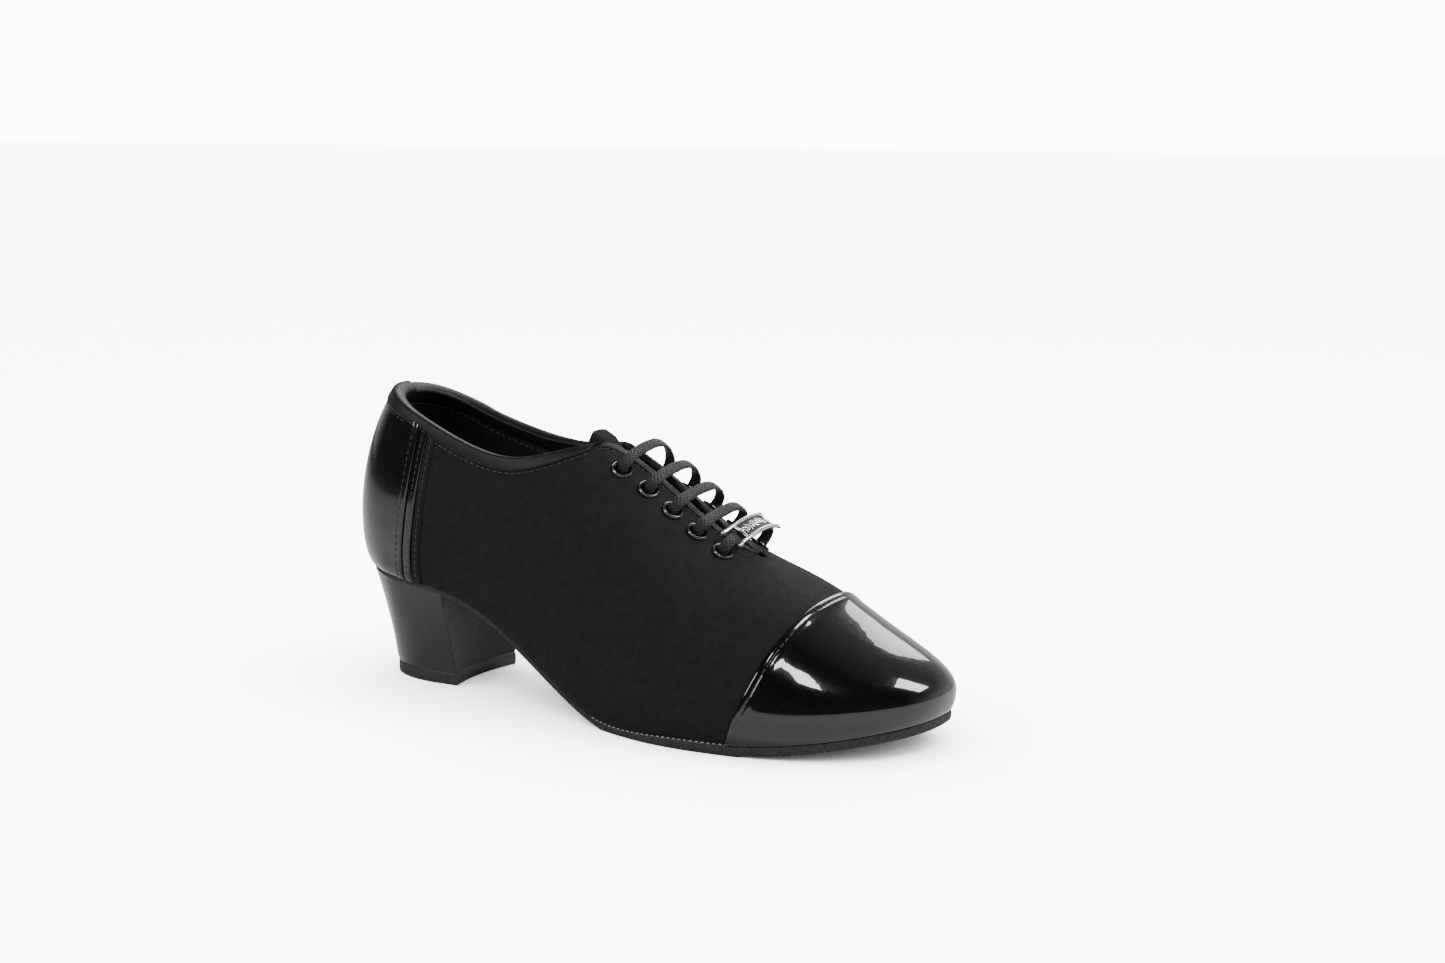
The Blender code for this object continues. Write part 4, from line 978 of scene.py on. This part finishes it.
def rounded(thing, width, segments=2):
    tool = thing.modifiers.new("round", "BEVEL")
    tool.width, tool.segments = width * MM, segments
    tool.limit_method, tool.angle_limit = "ANGLE", math.radians(40)
    settle(thing)
    thing.data.shade_smooth()
    thing.data.set_sharp_from_angle(angle=math.radians(60))


def make_charm(paints):
    x = EYELET_X[-1]
    down = unit(on_ridge(x + 1, 0, 0) - on_ridge(x - 1, 0, 0))
    up = np.cross(down, (0.0, 1.0, 0.0))

    def spot(a, b, h):
        a, b, h = np.broadcast_arrays(*(np.asarray(t, float) for t in (a, b, h)))
        return on_ridge(np.full_like(a, x), a, charm_offset(a)) + b[..., None] * down + h[..., None] * up
    half, wide = CHARM_HALF_LENGTH, CHARM_HALF_WIDTH
    low, high = CHARM_PANEL
    a = np.unique(np.concatenate([np.linspace(-half, half, 57), CHARM_PANEL]))
    b = np.array((-wide, -CHARM_SLOT, -1.5, 0, 1.5, CHARM_SLOT, wide))

    def flare(line):
        return 1 + 0.10 * smooth((np.abs(line) - 8.4) / 3.0)
    grid_a, grid_b = a[:, None] + 0 * b, b[None] * flare(a)[:, None]
    grid_a = grid_a + np.where(np.abs(grid_a - low) < 0.01, 0.9 * (1 - (grid_b / wide) ** 2), 0)
    mid_a, mid_b = (a[:-1] + a[1:]) / 2, (b[:-1] + b[1:]) / 2
    slot = ((mid_a < low) | (mid_a > high))[:, None] & (np.abs(mid_b) < CHARM_SLOT)[None]
    plate = masked_plate("charm_plate", spot(grid_a, grid_b, CHARM_THICK - 0.2), spot(grid_a, grid_b, 0.0),
                         ~slot, paints["recess"])
    rounded(plate, 0.12, 2)
    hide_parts("lace_charm")
    made = [plate]
    angle = np.arange(16) * 2 * math.pi / 16
    for word, side in (("near", -1), ("far", 1)):
        line = np.linspace(-half, half, 90)
        tip = np.clip(1 - (np.abs(line) / half) ** 40, 0.2, 1)
        reach = (0.72 + 0.16 * smooth((np.abs(line) - 9.4) / 2.0)) * tip
        centre_b = side * (wide - 0.75) * flare(line)
        sections = np.stack([spot(line, centre_b + reach * math.cos(t),
                                  CHARM_THICK - 0.15 + 0.85 * reach * math.sin(t)) for t in angle], 1)
        made.append(tube(f"charm_rail_{word}", sections, paints["silver"], sharp=60))
    for word, place, bend in (("near", low + 0.45, 0.9), ("far", high - 0.5, -0.3)):
        line = np.linspace(-1, 1, 21)
        reach = np.where(np.abs(line) > 0.99, 0.2, 0.5)
        sections = np.stack([spot(place + bend * (1 - line ** 2) * 0.5 + reach * math.cos(t), line * (wide - 1.2),
                                  CHARM_THICK - 0.1 + 0.75 * reach * math.sin(t)) for t in angle], 1)
        made.append(tube(f"charm_lip_{word}", sections, paints["silver"], sharp=60))
    for k, centre in enumerate(np.linspace(low + 2.1, high - 1.9, 8)):
        line = np.linspace(-1, 1, 15)
        tall, thin = (1.9, 0.52) if k % 2 == 0 else (1.35, 0.62)
        reach = thin * np.sqrt(np.clip(1 - (0.97 * line) ** 2, 0, 1)) ** 0.6
        shift = 0.5 * np.sin(line * 3.0 + k)
        sections = np.stack([spot(centre + 0.77 * line + shift + reach * math.cos(t), tall * line,
                                  CHARM_THICK - 0.1 + 0.45 * reach * math.sin(t)) for t in angle], 1)
        made.append(tube(f"charm_ridge_{k + 1}", sections, paints["silver"], sharp=60))
    for piece in made:
        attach(piece, "charm")


def tongue_drop(x, across):
    rise = 3.2 * smooth((-8 - x) / 8) * (1 - smooth((np.abs(across) - 4.5) / 4.5))
    return -3.5 - 4.6 * smooth((np.abs(across) - 6.5) / 4.5) + rise


def make_tongue(paints):
    share = 1 - np.cos(np.linspace(0.02, math.pi / 2, 26))
    round_end = TONGUE_TOP_X + TONGUE_ROUND
    xs = np.concatenate([TONGUE_TOP_X + TONGUE_ROUND * share, np.linspace(round_end + 0.5, 51, 76)])
    to_top = np.clip((round_end - xs) / TONGUE_ROUND, 0, 1)
    half = (17.0 + 2.0 * smooth((xs + 19) / 60)) * np.sqrt(1 - to_top ** 2)
    across = half[:, None] * np.linspace(-1, 1, 61)
    x = xs[:, None] + 0 * across
    edge = np.minimum(1, np.minimum((1 - np.abs(np.linspace(-1, 1, 61)))[None] * half[:, None],
                                    (xs - TONGUE_TOP_X)[:, None] * 1.0) / 1.1)
    puff = np.sqrt(np.clip(1 - (1 - edge) ** 2, 0, 1))
    for name, top, thick, paint, node in (("tongue_skin", 0.0, 2.1, "felt", "tongue"),
                                          ("tongue_back", 2.35, 0.7, "lining", "tongue_lining")):
        middle = tongue_drop(x, across) - top - thick / 2
        wave = 0.18 * np.sin(x / 4.1 + 0.7) * np.sin(across / 5.0)
        upper = dome(x, ridge_y(x) + across, middle + thick / 2 * puff + wave)
        lower = dome(x, ridge_y(x) + across, middle - thick / 2 * puff + wave)
        piece = shell(name, upper, lower, paints[paint], np.zeros(len(xs), bool))
        wear(piece, "tongue_flap", "tongue_felt" if node == "tongue" else "tongue_cloth", node)


# ---------------------------------------------------------------- bottom

def outline(u, inset):
    x, y = plan_point(u, np.zeros_like(u))
    along, across = plan_slope(x, y)
    length = np.hypot(along, across)
    return x - inset * along / length, y - inset * across / length


def bottom_stations():
    return np.concatenate([np.linspace(0, QUARTER / LOOP, 30, endpoint=False),
                           u_at(np.linspace(SPINE_REAR, SPINE_FRONT, 130)),
                           np.linspace(u_at(SPINE_FRONT), 0.5, 40)[1:]])


def bottom_grid(us, inset, height, across=21):
    """Grid over the shoe's bottom from heel to toe; height takes the plan position."""
    edge = []
    for side in (1, -1):
        x = plan_point(side * us, np.zeros_like(us))[0]
        edge.append(outline(side * us, inset(x)))
    share = (1 - np.cos(np.linspace(0, math.pi, across))) / 2
    x = edge[0][0][:, None] * (1 - share) + edge[1][0][:, None] * share
    y = edge[0][1][:, None] * (1 - share) + edge[1][1][:, None] * share
    return np.stack([x, y, height(x)], -1)


def stacked(name, grids, ring, paint):
    """Closed solid from like grids [level, i, j], the underside first; ring lists the rim's point numbers."""
    count, rows, cols = grids.shape[:3]
    size = rows * cols
    faces = [quads(rows, cols)[:, ::-1], quads(rows, cols, size * (count - 1))]
    there = np.roll(ring, -1)
    for k in range(count - 1):
        faces.append(np.stack([ring, there, there + size, ring + size], -1) + k * size)
    return add(name, grids.reshape(-1, 3), np.concatenate(faces), paint, grids[..., :2].reshape(-1, 2))


def slab(name, us, levels, paint):
    """Closed slab over the bottom from (inset, height) levels."""
    grids = np.array([bottom_grid(us, inset, height) for inset, height in levels])
    index = np.arange(grids[0, ..., 0].size).reshape(grids.shape[1:3])
    return stacked(name, grids, np.concatenate([index[:, 0], index[1:-1, -1][::-1]]), paint)


def sole_thickness(x):
    return SOLE_THICK_WAIST + (SOLE_THICK_FRONT - SOLE_THICK_WAIST) * smooth((x + 20) / 50)


def sole_inset(x):
    proud = SOLE_PROUD_WAIST + (SOLE_PROUD_FRONT - SOLE_PROUD_WAIST) * smooth((x + 15) / 50)
    return tuck(x) - proud


def sole_under(x):
    low = feather_z(x) + SOLE_TOP - sole_thickness(x)
    return np.where((x > TREAD[0]) & (x < TREAD[1]), 0.0, np.maximum(low, 0))


def sock_height(x):
    return SOCK_FRONT + (PAD_THICK + 0.3) * smooth((-50 - x) / 14)


def make_bottom(paints):
    us = bottom_stations()

    def rim(share, extra):
        """Height between the underside and the top at the rim, and how far it is drawn in there."""
        return (lambda x: sole_inset(x) + extra * smooth((x + 30) / 40),
                lambda x: sole_under(x) + share * (feather_z(x) - 0.3 - sole_under(x)))
    levels = [rim(0.0, 0.5), rim(0.06, 0.16), rim(0.18, 0.02), rim(0.5, -0.08), rim(0.8, 0.0), rim(0.94, 0.14),
              rim(1.0, 0.5)]
    sole = slab("sole", us, levels, paints["suede"])
    sole.data.materials.append(paints["sole_rim"])
    edge = np.zeros(len(sole.data.polygons), np.int32)
    for face in sole.data.polygons:
        if abs(face.normal.z) < 0.75:
            edge[face.index] = 1
    sole.data.polygons.foreach_set("material_index", edge)
    wear(sole, "soft", "suede_sole", "outsole_rear", "outsole_front")
    for word, side in (("outer", 1), ("inner", -1)):
        line = side * np.linspace(u_at(2.0), 0.5, 400)
        x = plan_point(line, 0 * line)[0]
        px, py = outline(line, tuck(x) - 0.55)
        path = np.stack([px, py, feather_z(px) - 0.2], -1)
        stitch_row(f"sole_stitches_{word}", path, np.repeat([[0, 0, 1.0]], len(path), 0),
                   paints["pale_thread"], "soft", 1.5, 0.75, 0.3, flat=0.8)

    def inside(extra):
        return lambda x: np.maximum(tuck(x), -LINING[1] + 1.5 * smooth((-45 - x) / 20)) + extra
    high = (lambda x: feather_z(x) + sock_height(x) + SOCK_THICK)
    low = (lambda x: feather_z(x) + sock_height(x))
    sock = slab("sock", us, [(inside(0.9), low), (inside(0.7), lambda x: low(x) + 0.5),
                             (inside(0.9), lambda x: high(x) - 0.2), (inside(1.4), high)], paints["sock"])
    wear(sock, "soft", "sock_leather", "sock_liner_rear", "sock_liner_front")


# ---------------------------------------------------------------- heel

def heel_section(height, inset, front_inset, us, across):
    top = bottom_grid(us, sole_inset, feather_z, across)
    share = np.linspace(0, 1, across)
    edge = top[:, :1] * (1 - share)[None, :, None] + top[:, -1:] * share[None, :, None]
    back = edge[0, 0, 0]
    along = (edge[..., 0] - back) / (edge[-1, 0, 0] - back)
    flare = height ** 1.5
    rear = HEEL_BOTTOM_BACK_X + flare * (back - HEEL_BOTTOM_BACK_X) + inset
    front = HEEL_BREAST_BOTTOM_X + height * (HEEL_BREAST_TOP_X - HEEL_BREAST_BOTTOM_X) - front_inset
    half = np.abs(edge[..., 1]).max()
    narrow = (HEEL_BOTTOM_HALF_WIDTH + flare * (half - HEEL_BOTTOM_HALF_WIDTH) - inset) / half
    hollow = HEEL_BREAST_HOLLOW * (1 - (edge[..., 1] / half) ** 2)
    return rear + along * (front - rear) - hollow * along ** 4, edge[..., 1] * narrow


def heel_stations():
    return np.concatenate([np.linspace(0, QUARTER / LOOP, 30, endpoint=False),
                           u_at(np.linspace(SPINE_REAR, HEEL_BREAST_TOP_X, 14))])


def make_heel(paints):
    us = heel_stations()
    across = 25
    bottom = TOP_PIECE_THICK
    grids = []
    for share in np.linspace(0, 1, 26):
        inset = 0.35 * (1 - smooth(share / 0.03))
        height = share * (1 - bottom / HEEL_HEIGHT) + bottom / HEEL_HEIGHT
        x, y = heel_section(height, inset, 0.0, us, across)
        seat = feather_z(x) + SOLE_TOP - SOLE_THICK_WAIST + 0.1
        grids.append(np.stack([x, y, bottom + share * (seat - bottom)], -1))
    grids = np.array(grids)
    wall = np.moveaxis(np.concatenate([grids[:, :0:-1, -1], grids[:, :, 0]], 1), 0, 1)
    skin = sheet("heel_skin", wall, paints["heel"])
    wear(skin, "shoe", "heel_patent", "heel_cover")
    front = np.moveaxis(grids[:, -1], 0, 1).copy()
    y = front[..., 1]
    front[..., 0] += 0.12 - 0.35 * np.exp(-(y / 0.45) ** 2)
    breast = sheet("heel_breast_skin", front, paints["breast"])
    wear(breast, "shoe", "heel_breast_satin", "heel_breast_cover")
    levels = []
    for z, inset in ((0.0, 0.45), (0.15, 0.15), (0.45, 0.0), (2.6, -0.12), (4.7, 0.0), (5.0, 0.12), (5.2, 0.5)):
        x, y = heel_section(0.0, inset, inset, us, across)
        levels.append(np.stack([x, y, 0 * x + z], -1))
    levels = np.array(levels)
    index = np.arange(levels[0, ..., 0].size).reshape(levels.shape[1:3])
    ring = np.concatenate([index[:, 0], index[-1, 1:], index[-2::-1, -1], index[0, -2:0:-1]])
    piece = stacked("top_piece_skin", levels, ring, paints["rubber"])
    wear(piece, "shoe", "top_piece_rubber", "top_piece")


# ---------------------------------------------------------------- stage

FLOOR_HALF = 60.0                            # metres, so that no horizon shows
FLOOR_GLOW, SKY_GLOW = 9.0, 12.0             # white of the floor and of the backdrop, as the camera sees them
BRIGHT_BEHIND = (-0.1, 0.6, 0.05, 0.8)       # the surroundings' light rises with Y: from, to, least, most
DIM_ABOVE = (0.2, 0.55, 1.0, 0.3)            # and falls with Z


def make_stage():
    p = Paint("floor_look", (0.9, 0.9, 0.9), 0.6, Emission_Color=(1, 1, 1, 1))
    p.mottle((3, 2), (0.88, 0.88, 0.88), (0.92, 0.92, 0.92), 0.3, 0.7)
    seen = p.node("ShaderNodeLightPath")
    # Near the shoe, ambient occlusion dims the floor's glow as the camera sees it: a painted contact shadow.
    near = p.node("ShaderNodeAmbientOcclusion", Distance=0.07)
    painted_contact_shadow = p.math("POWER", near.outputs["AO"], 1.6)
    glow = p.math("MULTIPLY", seen.outputs["Is Camera Ray"], painted_contact_shadow)
    p.to("Emission Strength", p.math("MULTIPLY", glow, FLOOR_GLOW))
    mesh = bpy.data.meshes.new("floor")
    far = FLOOR_HALF
    mesh.from_pydata([(-far, -far, 0), (far, -far, 0), (far, far, 0), (-far, far, 0)], [], [(0, 1, 2, 3)])
    floor = bpy.data.objects.new("floor", mesh)
    bpy.context.collection.objects.link(floor)
    mesh.materials.append(p.mat)


def area_light(name, place, target, size, power):
    lamp = bpy.data.lights.new(name, "AREA")
    lamp.shape, lamp.size, lamp.size_y, lamp.energy = "RECTANGLE", size[0], size[1], power
    thing = bpy.data.objects.new(name, lamp)
    thing.location = place
    thing.rotation_euler = (Vector(target) - Vector(place)).to_track_quat("-Z", "Y").to_euler()
    bpy.context.collection.objects.link(thing)


def make_lights():
    aim = (0.0, 0.0, 0.05)
    toe = (0.09, -0.02, 0.03)
    area_light("back_box", (-0.22, 1.05, 0.8), aim, (0.75, 0.5), 7)
    area_light("toe_box", (0.82, 0.46, 0.98), toe, (0.42, 0.5), 14)
    area_light("small_box", (0.46, -0.7, 1.07), toe, (0.17, 0.3), 4.5)
    area_light("side_box", (-0.75, -1.25, 0.95), aim, (0.7, 0.7), 14)
    world = bpy.data.worlds.new("studio")
    bpy.context.scene.world = world
    world.use_nodes = True
    nodes, links = world.node_tree.nodes, world.node_tree.links
    back = nodes["Background"]
    back.inputs["Color"].default_value = (1, 1, 1, 1)
    coords = nodes.new("ShaderNodeTexCoord")
    split = nodes.new("ShaderNodeSeparateXYZ")
    links.new(coords.outputs["Generated"], split.inputs["Vector"])
    product = nodes.new("ShaderNodeMath")
    product.operation = "MULTIPLY"
    for socket, axis, limits in zip(product.inputs, "YZ", (BRIGHT_BEHIND, DIM_ABOVE)):
        share = nodes.new("ShaderNodeMapRange")
        for key, value in zip(RANGE_KEYS, limits):
            share.inputs[key].default_value = value
        links.new(split.outputs[axis], share.inputs["Value"])
        links.new(share.outputs["Result"], socket)
    seen = nodes.new("ShaderNodeLightPath")
    pick = nodes.new("ShaderNodeMix")
    links.new(seen.outputs["Is Camera Ray"], pick.inputs[0])
    links.new(product.outputs["Value"], pick.inputs[2])
    pick.inputs[3].default_value = SKY_GLOW
    links.new(pick.outputs[0], back.inputs["Strength"])


def make_camera():
    azimuth, elevation, roll = math.radians(29.8), math.radians(9.8), math.radians(0.5)
    back = Vector((math.sin(azimuth) * math.cos(elevation), -math.cos(azimuth) * math.cos(elevation),
                   math.sin(elevation)))
    right = Vector((math.cos(azimuth), math.sin(azimuth), 0))
    up = back.cross(right)
    side = right * math.cos(roll) + up * math.sin(roll)
    head = up * math.cos(roll) - right * math.sin(roll)
    lens = bpy.data.cameras.new("camera")
    lens.sensor_width, lens.lens = 36.0, 48.87
    lens.clip_start = 0.01
    camera = bpy.data.objects.new("camera", lens)
    turn = Matrix((side, head, back)).transposed().to_4x4()
    camera.matrix_world = Matrix.Translation((0.3903, -0.6184 + SIDE_SHIFT * MM, 0.2126)) @ turn
    bpy.context.collection.objects.link(camera)
    bpy.context.scene.camera = camera


CARRIED = {
    "board": ("insole_board_rear", "insole_board_front", "counter_stiffener", "toe_puff"),
    "foam": ("heel_pad", "filler_rear", "filler_front"),
    "core": ("heel_block",),
    "steel": ("shank", "shank_rivet_1", "shank_rivet_2", "heel_screw", "heel_nail_1", "heel_nail_2", "heel_nail_3",
              "heel_nail_4", "top_piece_pin_1", "top_piece_pin_2"),
    "plastic_and_hole_shade": ("lace_tip_start", "lace_tip_end"),
    "lining": ("lining_toe",),
}


def main():
    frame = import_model()
    make_camera()
    make_lights()
    make_stage()
    paints = make_paints()
    for paint, names in CARRIED.items():
        for name in names:
            mesh = frame["nodes"][name].data
            mesh.materials.clear()
            mesh.materials.append(paints[paint])
    make_upper(paints)
    make_toe_cap(paints)
    make_counter(paints)
    make_edges(paints)
    make_eyelets(paints)
    make_tongue(paints)
    make_lace(paints)
    make_charm(paints)
    make_bottom(paints)
    make_heel(paints)


main()
